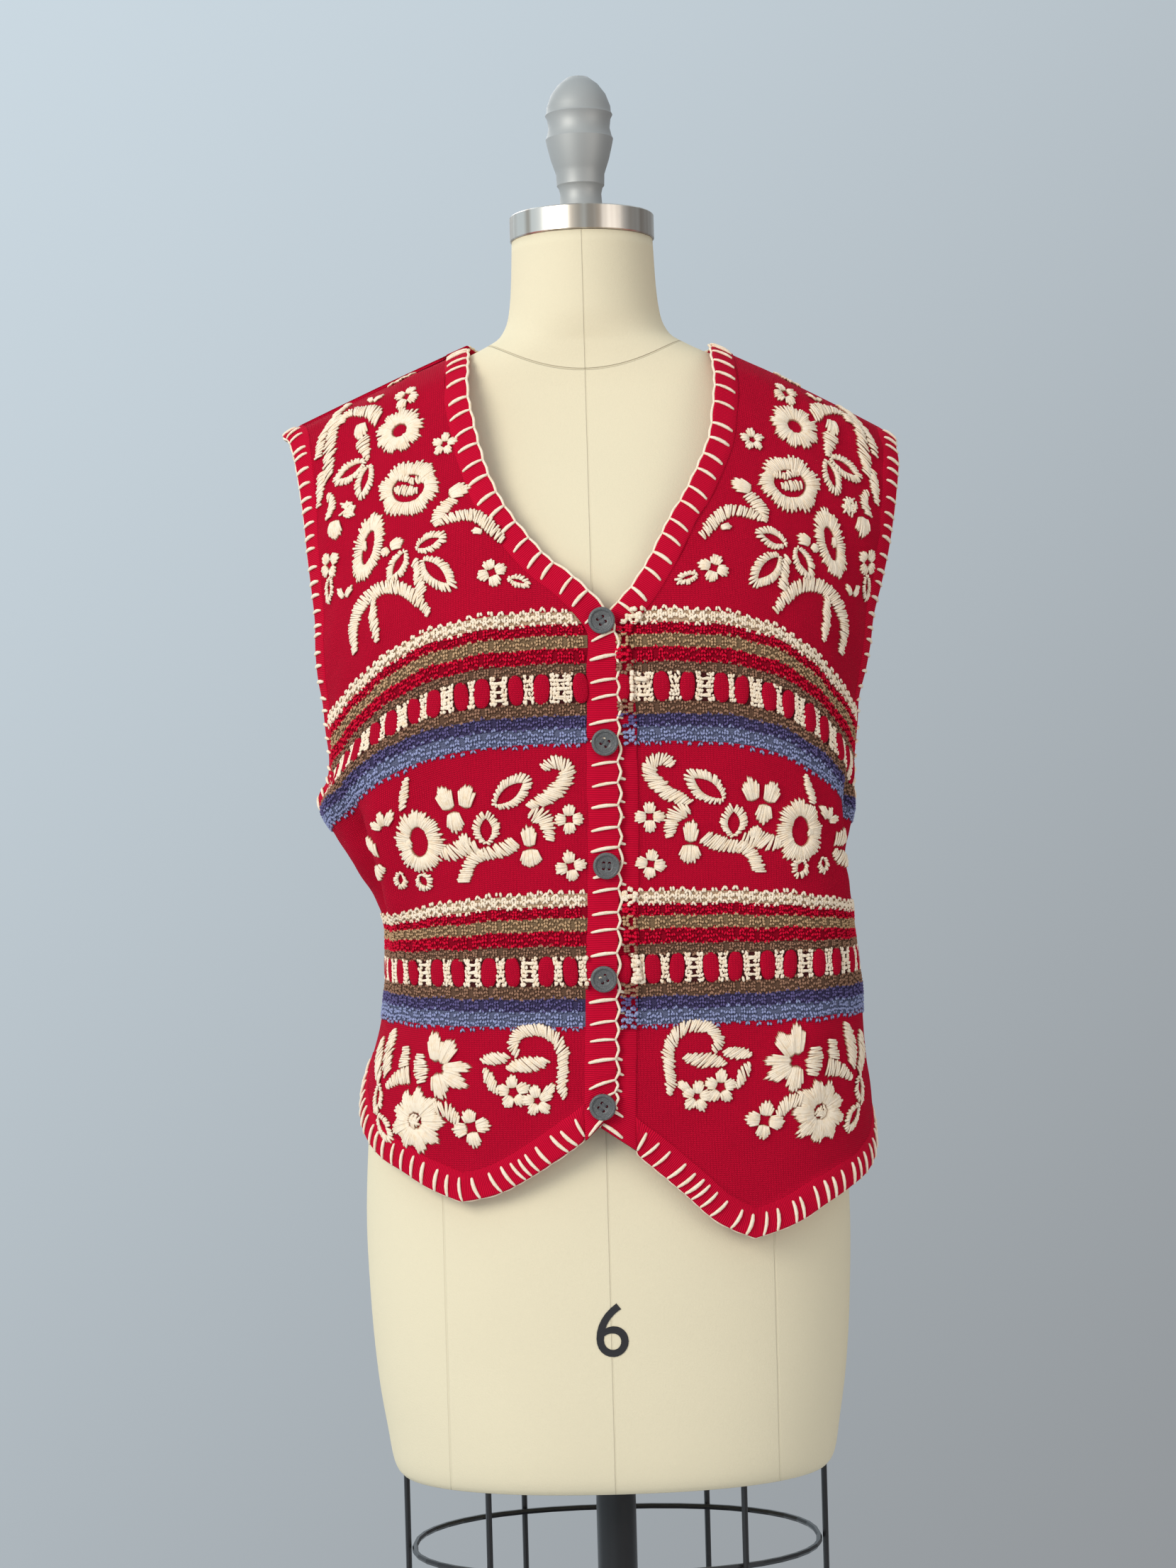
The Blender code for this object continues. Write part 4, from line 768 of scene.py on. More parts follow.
class Finish:
    """A material built from the shader's nodes."""

    def __init__(self, name, colour=None, roughness=0.8, metallic=0.0, shine=0.5):
        self.material = bpy.data.materials.new(name)
        self.material.use_nodes = True
        self.nodes = self.material.node_tree.nodes
        self.links = self.material.node_tree.links
        self.shader = self.nodes["Principled BSDF"]
        self.shader.inputs["Roughness"].default_value = roughness
        self.shader.inputs["Metallic"].default_value = metallic
        self.shader.inputs["Specular IOR Level"].default_value = shine
        if colour is not None:
            self.shader.inputs["Base Color"].default_value = (*colour, 1.0)
            self.material.diffuse_color = (*colour, 1.0)

    def set(self, socket, value):
        if isinstance(value, Wire):
            self.links.new(value.socket, socket)
        elif hasattr(value, "__len__") and len(value) == 3 and socket.type == "RGBA":
            socket.default_value = (*value, 1.0)
        else:
            socket.default_value = value

    def node(self, kind, settings=None, inputs=None, output=0):
        """Any node: its settings are set first, then its sockets by name or number."""
        made = self.nodes.new(kind)
        for name, value in (settings or {}).items():
            if name == "stops":
                self.set_stops(made.color_ramp, value)
            else:
                setattr(made, name, value)
        for name, value in (inputs or {}).items():
            self.set(made.inputs[name], value)
        return Wire(self, made.outputs[output])

    @staticmethod
    def set_stops(ramp, stops):
        ramp.interpolation = "CONSTANT"
        ramp.elements.remove(ramp.elements[-1])
        ramp.elements[0].position = 0.0
        ramp.elements[0].color = (*stops[0][1], 1.0)
        for place, colour in stops[1:]:
            ramp.elements.new(place).color = (*colour, 1.0)

    def maths(self, operation, *values):
        return self.node("ShaderNodeMath", {"operation": operation}, dict(enumerate(values)))

    def mix(self, share, first, second):
        """A blend of two colours."""
        settings = {"data_type": "RGBA"}
        return self.node("ShaderNodeMix", settings, {0: share, 6: first, 7: second}, output=2)

    def place(self):
        return self.node("ShaderNodeTexCoord", output=3)

    def parts(self, vector):
        split = self.nodes.new("ShaderNodeSeparateXYZ")
        self.set(split.inputs[0], vector)
        return [Wire(self, socket) for socket in split.outputs]

    def cloth_place(self):
        """Distance along the two ways of the cloth, in metres."""
        uv = self.node("ShaderNodeUVMap", {"uv_map": "cloth"})
        return uv, self.parts(uv)

    def noise(self, vector, scale, detail=2.0):
        inputs = {"Vector": vector, "Scale": scale, "Detail": detail, "Roughness": 0.6}
        return self.node("ShaderNodeTexNoise", None, inputs)

    def bump(self, height, depth):
        """Relief whose height of 1 stands that many metres proud."""
        normal = self.node("ShaderNodeBump", None, {"Height": height, "Distance": depth})
        self.set(self.shader.inputs["Normal"], normal)

    def colour(self, value):
        self.set(self.shader.inputs["Base Color"], value)

    def roughness(self, value):
        self.set(self.shader.inputs["Roughness"], value)


class Air(Finish):
    """The studio's air: pale blue above on the left, and grey below on the right, painted as light falling
    from the upper left across the backdrop.
    """

    def __init__(self, name):
        self.world = bpy.data.worlds.new(name)
        self.world.use_nodes = True
        self.nodes, self.links = self.world.node_tree.nodes, self.world.node_tree.links
        x, _, z = self.parts(self.node("ShaderNodeTexCoord"))
        share = (z * AIR_SLOPE + x).ramp(-AIR_SPAN, AIR_SPAN)
        self.set(self.nodes["Background"].inputs["Color"], self.mix(share, AIR_LEFT, AIR_RIGHT))


def knit_relief(finish, across, along, wale, row):
    """Height of stocking stitch: columns of small V shapes, 0 in the gaps and 1 on the yarn."""
    column = across / wale
    aside = finish.maths("FRACT", column) - 0.5
    legs = abs(aside)
    rows = finish.maths("FRACT", along / row + legs * 1.5)
    row_round = 1 - abs(rows * 2 - 1) ** 2.4
    leg_round = 1 - abs(legs * 4 - 1) ** 2.2
    return row_round * leg_round


def linear(colour):
    """A colour as seen on a screen, in the numbers that the shader takes."""
    return tuple(((c + 0.055) / 1.055) ** 2.4 if c > 0.04045 else c / 12.92 for c in colour)


def shaded(colour, *shares):
    """A colour times one share, or times one for each of its three parts."""
    return tuple(c * share for c, share in zip(colour, shares * 3 if len(shares) == 1 else shares))


def in_mesh(name, points, groups, finish, places=None, smooth=True):
    """An object from points and arrays of faces, one array for each number of corners."""
    points = np.asarray(points, float).reshape(-1, 3)
    groups = [np.asarray(group, int) for group in groups if len(group)]
    volume = 0.0
    for group in groups:
        first = points[group[:, 0]]
        for k in range(1, group.shape[1] - 1):
            normals = np.cross(points[group[:, k]], points[group[:, k + 1]])
            volume += np.einsum("ij,ij->i", first, normals).sum()
    if volume < 0:
        groups = [group[:, ::-1] for group in groups]
    corners = np.concatenate([group.ravel() for group in groups])
    counts = np.concatenate([np.full(len(group), group.shape[1]) for group in groups])
    mesh = bpy.data.meshes.new(name)
    mesh.vertices.add(len(points))
    mesh.vertices.foreach_set("co", points.ravel())
    mesh.loops.add(len(corners))
    mesh.loops.foreach_set("vertex_index", corners)
    mesh.polygons.add(len(counts))
    mesh.polygons.foreach_set("loop_start", np.concatenate([[0], np.cumsum(counts)[:-1]]))
    mesh.update(calc_edges=True)
    if places is not None:
        layer = mesh.uv_layers.new(name="cloth")
        layer.data.foreach_set("uv", np.asarray(places, float).reshape(-1, 2)[corners].ravel())
    if smooth:
        mesh.shade_smooth()
    piece = bpy.data.objects.new(name, mesh)
    bpy.context.scene.collection.objects.link(piece)
    mesh.materials.append(finish.material)
    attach(piece, "root")
    return piece


def refined(stations, times, corners=()):
    """Stations made that many times as close, on a smooth curve that keeps its corners."""
    stations = np.asarray(stations, float)
    stops = [0, *corners, len(stations) - 1]
    parts = []
    for first, last in zip(stops, stops[1:]):
        stretch = stations[first:last + 1]
        slopes = np.gradient(stretch, axis=0)
        at = np.linspace(0, last - first, (last - first) * times + 1)
        k = np.minimum(at.astype(int), last - first - 1)
        t = (at - k).reshape(-1, *[1] * (stations.ndim - 1))
        curve = smooth_between(t, k, stretch, slopes)
        parts.append(curve[:None if last == stops[-1] else -1])
    return np.concatenate(parts)


def round_turns(sides):
    """Angles of the points round a strand."""
    return 2 * math.pi * (np.arange(sides) + 0.5) / sides


def strands(paths, facing, widths, heights, sides):
    """Lengths of yarn with pointed ends: points and faces.

    paths is (strands, places, 3), facing the directions away from the cloth, and widths and heights
    are the yarn's thickness along and away from the cloth."""
    paths, facing = np.asarray(paths, float), np.asarray(facing, float)
    count, places = paths.shape[:2]
    facing = np.broadcast_to(facing.reshape(count, -1, 3), paths.shape)
    run = np.gradient(paths, axis=1)
    run /= np.linalg.norm(run, axis=2, keepdims=True) + 1e-12
    aside = np.cross(run, facing)
    aside /= np.linalg.norm(aside, axis=2, keepdims=True) + 1e-12
    away = np.cross(aside, run)
    turn = round_turns(sides)
    rings = places - 2
    widths, heights = (
        np.broadcast_to(np.asarray(size, float).reshape(-1, 1), (count, rings)) if np.ndim(size) < 2 else size
        for size in (widths, heights)
    )
    sideways = aside[:, 1:-1, None] * (widths[..., None] / 2 * np.cos(turn))[..., None]
    outward = away[:, 1:-1, None] * (heights[..., None] / 2 * np.sin(turn))[..., None]
    ring_points = (paths[:, 1:-1, None] + sideways + outward).reshape(count, -1, 3)
    points = np.concatenate([paths[:, :1], ring_points, paths[:, -1:]], axis=1)
    size = points.shape[1]
    around, following = np.arange(sides), (np.arange(sides) + 1) % sides
    first = np.stack([np.zeros(sides, int), 1 + following, 1 + around], axis=1)
    base = 1 + (rings - 1) * sides
    last = np.stack([np.full(sides, size - 1), base + around, base + following], axis=1)
    quads = [
        np.stack([1 + r * sides + around, 1 + r * sides + following,
                  1 + (r + 1) * sides + following, 1 + (r + 1) * sides + around], axis=1)
        for r in range(rings - 1)
    ]
    shift = (np.arange(count) * size)[:, None, None]
    triangles = (np.concatenate([first, last])[None] + shift).reshape(-1, 3)
    groups = [triangles]
    if quads:
        groups.append((np.concatenate(quads)[None] + shift).reshape(-1, 4))
    return points, groups


def front_grid(side):
    """Fine grid of cloth places over a front."""
    inner, outer, bottom, top = front_edges(side)
    return panel_places(
        refined(inner, ROW_SPLIT, (NECK_STATION,)), refined(outer, ROW_SPLIT, (UNDERARM_STATION,)),
        refined(bottom, COLUMN_SPLIT, (HEM_POINT_COLUMN,)), refined(top, COLUMN_SPLIT),
    )


def back_grid():
    """Fine grid of cloth places over the back, with distance across signed."""
    right, left, bottom, top = back_edges()
    shoulder = BACK_SHOULDER_COLUMNS
    return panel_places(
        refined(right, ROW_SPLIT, (UNDERARM_STATION,)), refined(left, ROW_SPLIT, (UNDERARM_STATION,)),
        refined(bottom, COLUMN_SPLIT),
        refined(top, COLUMN_SPLIT, (shoulder, BACK_COLUMNS - shoulder)),
    )


def grid_faces(rows, columns, shift=0):
    r, c = np.meshgrid(np.arange(rows - 1), np.arange(columns - 1), indexing="ij")
    a = shift + (r * columns + c).ravel()
    return np.stack([a, a + 1, a + columns + 1, a + columns], axis=1)


def tube_faces(rings, sides):
    """Faces of a tube, from its rings of points."""
    k, s = np.meshgrid(np.arange(rings - 1), np.arange(sides), indexing="ij")
    a = (k * sides + s).ravel()
    b = (k * sides + (s + 1) % sides).ravel()
    return np.stack([a, b, b + sides, a + sides], axis=1)


def rim_of(rows, columns, shift=0):
    """Numbers of the points round the edge of a grid, in order."""
    grid = shift + np.arange(rows * columns).reshape(rows, columns)
    return np.concatenate([grid[:-1, 0], grid[-1, :-1], grid[:0:-1, -1], grid[0, :0:-1]])


def panel_piece(name, places, points, normals, finish):
    """A knitted panel: a fine outer side, a coarser inner one and the rim between them."""
    rows, columns = points.shape[:2]
    half = PANEL_THICKNESS / 2
    outside = points + normals * half
    inside = (points - normals * half)[::INNER_SPLIT, ::INNER_SPLIT]
    inner_rows, inner_columns = inside.shape[:2]
    count = rows * columns
    outer_rim = rim_of(rows, columns)
    inner_rim = rim_of(inner_rows, inner_columns, count)
    starts = np.arange(len(inner_rim))
    following = np.roll(inner_rim, -1)
    steps = [np.roll(outer_rim, -k)[starts * INNER_SPLIT] for k in range(INNER_SPLIT + 1)]
    rim = np.stack([*steps, following, inner_rim], axis=1)
    groups = [
        grid_faces(rows, columns), grid_faces(inner_rows, inner_columns, count)[:, ::-1], rim[:, ::-1],
    ]
    cloth = np.concatenate([places.reshape(-1, 2), places[::INNER_SPLIT, ::INNER_SPLIT].reshape(-1, 2)])
    all_points = np.concatenate([outside.reshape(-1, 3), inside.reshape(-1, 3)])
    return in_mesh(name, all_points, groups, finish, cloth)


def cut_area(places):
    """Flat area of the cut, from its grid of places."""
    first = places[1:, 1:] - places[:-1, :-1]
    second = places[1:, :-1] - places[:-1, 1:]
    return float(np.abs(first[..., 0] * second[..., 1] - first[..., 1] * second[..., 0]).sum() / 2)


def declare_sheet(piece, places):
    """Records how large the panel was knitted in FLAT_SIZES: its flat width, length and area."""
    width = float(np.ptp(places[..., 0]))
    length = float(np.ptp(places[..., 1]))
    FLAT_SIZES[piece.name] = (width, length, cut_area(places))
    cut_area(places)


def build_fronts(finish):
    for side, name in ((RIGHT, "front_right"), (LEFT, "front_left")):
        cloth = CLOTH_MAPS[side, FRONT]
        places = front_grid(side)
        points = seat_shoulder(cloth.at(places[..., 0], places[..., 1]), FRONT)
        normals = cloth.normal_at(places[..., 0], places[..., 1])
        normals[-1] = flat_on_seam(normals[-1])
        seam = slice(0, UNDERARM_STATION * ROW_SPLIT + 1)
        normals[seam, -1] = flat_on_seam(normals[seam, -1])
        piece = panel_piece("knit_" + name, places * (side, 1), points, normals, finish)
        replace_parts(piece, name)
        PANELS[name] = (piece, places)


def build_back(finish):
    places = back_grid()
    points = seat_shoulder(back_at(places, lambda m, a, r: m.at(a, r)), BACK)
    normals = back_at(places, lambda m, a, r: m.normal_at(a, r))
    normals /= np.linalg.norm(normals, axis=-1, keepdims=True)
    shoulder = BACK_SHOULDER_COLUMNS * COLUMN_SPLIT
    for columns in (slice(0, shoulder + 1), slice(-shoulder - 1, None)):
        normals[-1, columns] = flat_on_seam(normals[-1, columns])
    seam = slice(0, UNDERARM_STATION * ROW_SPLIT + 1)
    for column in (0, -1):
        normals[seam, column] = flat_on_seam(normals[seam, column])
    piece = panel_piece("knit_back", places + (2.0, 0.0), points, normals, finish)
    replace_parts(piece, "back")
    PANELS["back"] = (piece, places)


class Edge:
    """A band along an edge of the cloth: its stations, the way out, the normals and the widths."""

    def __init__(self, frames, widths, closed=False, corners=(), split=7, cut=(0.0, 0.0)):
        points, out, normals = frames
        widths = np.broadcast_to(np.asarray(widths, float), (len(points),))
        columns = np.concatenate([points, out, normals, widths[:, None]], axis=1)
        if closed:
            looped = np.concatenate([columns[-2:], columns, columns[:3]])
            columns = refined(looped, split)[2 * split:(len(columns) + 2) * split]
        else:
            columns = refined(columns, split, corners)
        self.closed = closed
        self.points = columns[:, 0:3]
        self.out = columns[:, 3:6] / np.linalg.norm(columns[:, 3:6], axis=1, keepdims=True)
        self.normals = columns[:, 6:9] / np.linalg.norm(columns[:, 6:9], axis=1, keepdims=True)
        self.widths = columns[:, 9]
        ring = np.concatenate([self.points, self.points[:1]]) if closed else self.points
        edge = self.points + self.out * self.widths[:, None]
        edge = np.concatenate([edge, edge[:1]]) if closed else edge
        steps = np.linalg.norm(np.diff((ring + edge) / 2, axis=0), axis=1)
        self.along = np.concatenate([[0], np.cumsum(steps)])
        self.length = float(self.along[-1])
        self.cut = cut
        down = self.points[0] - self.points[1]
        self.foot = down / np.linalg.norm(down)

    def read(self, along):
        """Point, way out, normal and width at distances along the edge."""
        along = np.asarray(along, float)
        if self.closed:
            along = along % self.length
        read = []
        for values in (self.points, self.out, self.normals, self.widths[:, None]):
            values = np.concatenate([values, values[:1]]) if self.closed else values
            read.append(np.stack(
                [np.interp(along, self.along, values[:, k]) for k in range(values.shape[1])], axis=-1
            ))
        return read

    def on(self, along, inward, rise):
        """A point that lies inward from the free edge, and above the middle of the band.

        The foot of a band may be cut aslant: lower at its seam and higher at its free edge."""
        points, out, normals, widths = self.read(along)
        inward = np.asarray(inward, float)[..., None]
        rise = np.asarray(rise, float)[..., None]
        share = np.clip(inward / widths, 0, 1)
        fade = np.clip(1 - np.asarray(along, float)[..., None] / CUT_FADE, 0, 1)
        shift = (self.cut[0] * share - self.cut[1] * (1 - share)) * fade
        return points + out * (widths - inward) + normals * rise + self.foot * shift


def front_band_edge(side):
    cloth = CLOTH_MAPS[side, FRONT]
    inner = front_edges(side)[0]
    foot = HEM_BAND_WIDTH * BAND_FOOT[side]
    line = np.concatenate([[[inner[0, 0], inner[0, 1] - foot]], inner])
    points, out, normals = edge_frames(cloth, line, 1)
    points[-1] = seat_shoulder(points[-1:][None], FRONT)[0, 0]
    out, normals = square_up(points, relaxed(out, 3, False), normals)
    seat_band_end(out, normals, -1)
    band = BUTTONHOLE_BAND_WIDTH if side == RIGHT else BUTTON_BAND_WIDTH
    share = smooth_step((np.arange(len(points)) - NECK_STATION + 1) / 3)
    widths = band + (NECK_BAND_WIDTH - band) * share
    return Edge((points, out, normals), widths, split=8, cut=BAND_CUTS[side])


def back_edge(line, way, smoothing, width, split, seam_gap=0.0):
    """A band's edge on the back, from the right half over to the left one."""
    middle = len(line) // 2
    right = edge_frames(CLOTH_MAPS[RIGHT, BACK], np.abs(line[:middle + 1]), way)
    left = edge_frames(CLOTH_MAPS[LEFT, BACK], line[middle:], -way)
    points, out, normals = (
        np.concatenate([a[:-1], (a[-1:] + b[:1]) / 2, b[1:]]) for a, b in zip(right, left)
    )
    points[[0, -1], 1] += seam_gap
    out, normals = square_up(points, relaxed(out, smoothing, False), normals)
    for end in (0, -1):
        seat_band_end(out, normals, end)
    return Edge((points, out, normals), width, split=split)


def back_neck_edge():
    line = back_edges()[3][BACK_SHOULDER_COLUMNS:-BACK_SHOULDER_COLUMNS]
    return back_edge(line, -1, 3, NECK_BAND_WIDTH, 8, SEAM_GAP)


def back_hem_edge():
    return back_edge(back_edges()[2], 1, 2, HEM_BAND_WIDTH, 7)


def armhole_edge(side):
    front_line = front_edges(side)[1][UNDERARM_STATION:]
    back_line = np.abs(back_edges()[0 if side == RIGHT else 1])[UNDERARM_STATION:][::-1]
    front = edge_frames(CLOTH_MAPS[side, FRONT], front_line, -1)
    back = edge_frames(CLOTH_MAPS[side, BACK], back_line, 1)
    joined = []
    for k in range(3):
        tip = (front[k][-1:] + back[k][:1]) / 2
        pit = (front[k][:1] + back[k][-1:]) / 2
        joined.append(np.concatenate([pit, front[k][1:-1], tip, back[k][1:-1]]))
    points, out, normals = joined
    out, normals = square_up(points, relaxed(out, 4, True), relaxed(normals, 2, True), closed=True)
    return Edge((points, out, normals), ARMHOLE_BAND_WIDTH, closed=True, split=8)


def hem_edge(side):
    points, out, normals = edge_frames(CLOTH_MAPS[side, FRONT], front_edges(side)[2], -1)
    out, normals = square_up(points, relaxed(out, 1, False), normals)
    start_along = points[1] - points[0]
    points[0] += start_along / np.linalg.norm(start_along) * SEAM_GAP
    out[0] = np.array([0.0, 0.0, -1.0])
    out[0] -= normals[0] * (out[0] @ normals[0])
    out[0] /= np.linalg.norm(out[0])
    widths = np.full(len(points), HEM_BAND_WIDTH)
    widths[0] *= 0.95
    seat_band_end(out, normals, -1)
    return Edge((points, out, normals), widths, corners=(HEM_POINT_COLUMN,), split=7)


def band_piece(name, edge, finish):
    """A band swept along its edge: flat on both sides, with a rounded free edge."""
    half = BAND_THICKNESS / 2
    turn = np.linspace(-math.pi / 2, math.pi / 2, 7)
    section = [(0.0, -BAND_OVERLAP, -half), (0.5, 0.0, -half)]
    section += [(1.0, half * (math.cos(a) - 1), half * math.sin(a)) for a in turn]
    section += [(0.66, 0.0, half), (0.33, 0.0, half), (0.0, 0.0, half), (0.0, -BAND_OVERLAP, half * 0.6)]
    rings, places = [], []
    along = edge.along[:len(edge.points)]
    for share, shift, rise in section:
        across = edge.widths * share + shift
        rings.append(edge.on(along, edge.widths - across, np.full(across.shape, rise)))
        places.append(np.stack([along, across + rise + half], axis=1))
    grid = np.stack(rings, axis=1)
    cloth = np.stack(places, axis=1)
    count, sides = grid.shape[:2]
    if edge.closed:
        grid = np.concatenate([grid, grid[:1]])
        seam = cloth[:1] + (edge.length, 0.0)
        cloth = np.concatenate([cloth, seam])
        count += 1
    groups = [tube_faces(count, sides)]
    if not edge.closed:
        start = np.arange(sides)[::-1][None]
        groups.append(np.concatenate([start, (count - 1) * sides + np.arange(sides)[None]]))
    return in_mesh(name, grid, groups, finish, cloth)


def form_points(heights, sides, inset=0.0):
    """Rings of the padded form at those heights, each from the front round by the left."""
    heights = np.asarray(heights, float)[:, None]
    angle = (2 * math.pi * np.arange(sides) / sides)[None]
    out, ahead = np.sin(angle), np.cos(angle)
    power = 2 / FORM.read("squareness", heights)
    half = FORM.read("half_width", heights) - inset
    depth = np.where(ahead > 0, FORM.read("front", heights), FORM.read("back", heights)) - inset
    x = half * np.copysign(np.abs(out) ** power, out)
    y = -depth * np.copysign(np.abs(ahead) ** power, ahead)
    y = y - bust(x, heights, BUST_DEPTH) * np.where(ahead > 0, np.abs(ahead) ** power, 0)
    return np.stack([x, y, np.broadcast_to(heights, x.shape)], axis=-1)


def build_form(finish):
    """The padded torso, with its jersey drawn smooth over it."""
    stations = np.array([row[0] for row in FORM_SECTIONS])
    heights = refined(stations[:, None], FORM_SPLIT)[:, 0]
    grid = form_points(heights, FORM_SIDES)
    rows = len(heights)
    top = (rows - 1) * FORM_SIDES
    caps = np.stack([np.arange(FORM_SIDES)[::-1], top + np.arange(FORM_SIDES)])
    piece = in_mesh("jersey_torso", grid, [tube_faces(rows, FORM_SIDES), caps], finish)
    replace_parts(piece, "form_torso")
    return piece


def build_numeral(torso, finish):
    """The size, a plain numeral printed low on the front of the form."""
    bpy.ops.object.select_all(action="DESELECT")
    bpy.ops.object.text_add()
    numeral = bpy.context.active_object
    numeral.data.body = "6"
    numeral.data.size = NUMERAL_SIZE
    numeral.data.resolution_u = 6
    numeral.data.extrude = 0.0003
    numeral.data.align_x = "CENTER"
    bpy.ops.object.convert(target="MESH")
    numeral = bpy.context.active_object
    numeral.name = numeral.data.name = "size_numeral"
    bpy.ops.object.mode_set(mode="EDIT")
    bpy.ops.mesh.select_all(action="SELECT")
    bpy.ops.mesh.remove_doubles(threshold=0.00001)
    bpy.ops.object.mode_set(mode="OBJECT")
    for vertex in numeral.data.vertices:
        x, z = NUMERAL_PLACE[0] + vertex.co.x, NUMERAL_PLACE[1] + vertex.co.y
        _, place, normal, _ = torso.ray_cast((x, -1.0, z), (0, 1, 0))
        vertex.co = place + normal * (vertex.co.z + 0.0002)
    numeral.data.materials.append(finish.material)
    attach(numeral, "root")
    bpy.ops.object.select_all(action="DESELECT")


def start_edit(piece):
    """Edit mode with everything selected."""
    bpy.context.view_layer.objects.active = piece
    piece.select_set(True)
    bpy.ops.object.mode_set(mode="EDIT")
    bpy.ops.mesh.select_mode(type="FACE")
    bpy.ops.mesh.select_all(action="SELECT")


def turned(name, profile, sides, finish, sharp=50):
    """A piece turned on a lathe: a disc drawn up through the rings of its profile."""
    bpy.ops.object.select_all(action="DESELECT")
    radius, height = profile[0]
    bpy.ops.mesh.primitive_circle_add(vertices=sides, radius=radius, fill_type="NGON")
    piece = bpy.context.active_object
    piece.name = piece.data.name = name
    start_edit(piece)
    bpy.ops.transform.translate(value=(0, 0, height))
    for next_radius, next_height in profile[1:]:
        move = {"value": (0, 0, next_height - height)}
        bpy.ops.mesh.extrude_region_move(TRANSFORM_OT_translate=move)
        share = max(next_radius, 1e-5) / radius
        bpy.ops.transform.resize(value=(share, share, 1), center_override=(0, 0, next_height))
        radius, height = max(next_radius, 1e-5), next_height
    if profile[-1][0] == 0:
        bpy.ops.mesh.merge(type="CENTER")
    bpy.ops.mesh.select_all(action="SELECT")
    bpy.ops.mesh.normals_make_consistent(inside=False)
    bpy.ops.object.mode_set(mode="OBJECT")
    bpy.ops.object.shade_smooth_by_angle(angle=math.radians(sharp))
    piece.data.materials.append(finish.material)
    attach(piece, "root")
    bpy.ops.object.select_all(action="DESELECT")
    return piece


FINIAL_PROFILE = (
    (0.0180, 1.4678), (0.0180, 1.4720), (0.0158, 1.4770), (0.0153, 1.4841), (0.0163, 1.4887),
    (0.0177, 1.4905), (0.0180, 1.4990), (0.0192, 1.5026), (0.0217, 1.5100),
    (0.0240, 1.5193), (0.0252, 1.5250), (0.0242, 1.5272), (0.0228, 1.5330),
    (0.0236, 1.5400), (0.0251, 1.5430), (0.0240, 1.5452), (0.0238, 1.5490),
    (0.0205, 1.5580), (0.0150, 1.5655), (0.0080, 1.5710), (0.0, 1.5730),
)


def build_neck_fittings(steel, silver):
    low, high, radius, bevel = NECK_TOP + 0.0003, 1.4675, 0.0537, 0.0008
    ring = [(radius - bevel, low), (radius, low + bevel), (radius, high - bevel), (radius - bevel, high)]
    ring += [(radius - 0.0022, high), (radius - 0.0030, high - 0.0010), (0.030, high - 0.0012)]
    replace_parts(turned("steel_ring", ring, 96, steel, 30), "neck_ring")
    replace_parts(turned("turned_finial", FINIAL_PROFILE, 64, silver, 35), "finial")


def build_stand(enamel):
    base = (
        (0.228, 0.0), (0.232, 0.004), (0.232, 0.010), (0.227, 0.015), (0.120, 0.023),
        (0.040, 0.031), (0.028, 0.038), (0.026, 0.056),
    )
    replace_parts(turned("round_base", base, 96, enamel, 35), "base")
    pole = ((0.0148, 0.0563), (0.0148, TORSO_BOTTOM - 0.0003))
    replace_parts(turned("round_pole", pole, 40, enamel, 35), "pole")
    for node in ("cage_hoop_upper", "cage_hoop_lower", *(f"cage_wire_{n}" for n in range(1, 7))):
        wire = bpy.data.objects[node]
        wire.data.materials.clear()
        wire.data.materials.append(enamel.material)


def edge_reach(side, face, row):
    """How far across the cloth a panel starts and ends at a row."""
    cloth = CLOTH_MAPS[side, face]
    outer = side_edge(side, face)
    end = np.interp(row, outer[:, 1], outer[:, 0])
    if face == BACK:
        return np.zeros_like(row), end
    inner = front_edges(side)[0]
    return np.interp(row, inner[:, 1], inner[:, 0]), np.minimum(end, cloth.width(row))


def wave(across):
    """How far the rows of the open stripes ride up and down."""
    return 0.0008 * np.sin(across * 2 * math.pi / 0.0400 + 0.6) + 0.0004 * np.sin(across * 730)


def stripe_rows():
    """Rows of stitches: nominal row, stripe's name, which of how many in its stripe, and height."""
    rows = []
    total = sum(height for _, height, _ in STRIPES)
    for top, bottom in STRIPE_GROUPS:
        place = top
        for name, height, count in STRIPES:
            size = height / total * (top - bottom)
            rows += [
                (place - size * (k + 0.5) / count, name, k, count, size / count) for k in range(count)
            ]
            place -= size
    return rows


def leg_pair(across, row, half, rise):
    """Starts and ends of the two legs of a stitch, its point upwards."""
    return [
        np.stack([np.stack([across + way * reach, place], -1) for way in (-1, 1)]).reshape(-1, 2)
        for reach, place in ((half, row - rise), (half * LEG_POINT, row + rise))
    ]


def lay(cloth, starts, ends, lift, places):
    """Points along straight stitches laid on the cloth, with the way out at each, in metres."""
    share = np.asarray(places)[:, None]
    flat = starts[:, None] * (1 - share) + ends[:, None] * share
    across = np.clip(flat[..., 0], 0.0, cloth.width(flat[..., 1]) - 0.0004)
    points = cloth.at(across, flat[..., 1])
    normals = cloth.normal_at(across, flat[..., 1])
    height = PANEL_THICKNESS / 2 + np.asarray(lift)
    return points + normals * height[..., None], normals


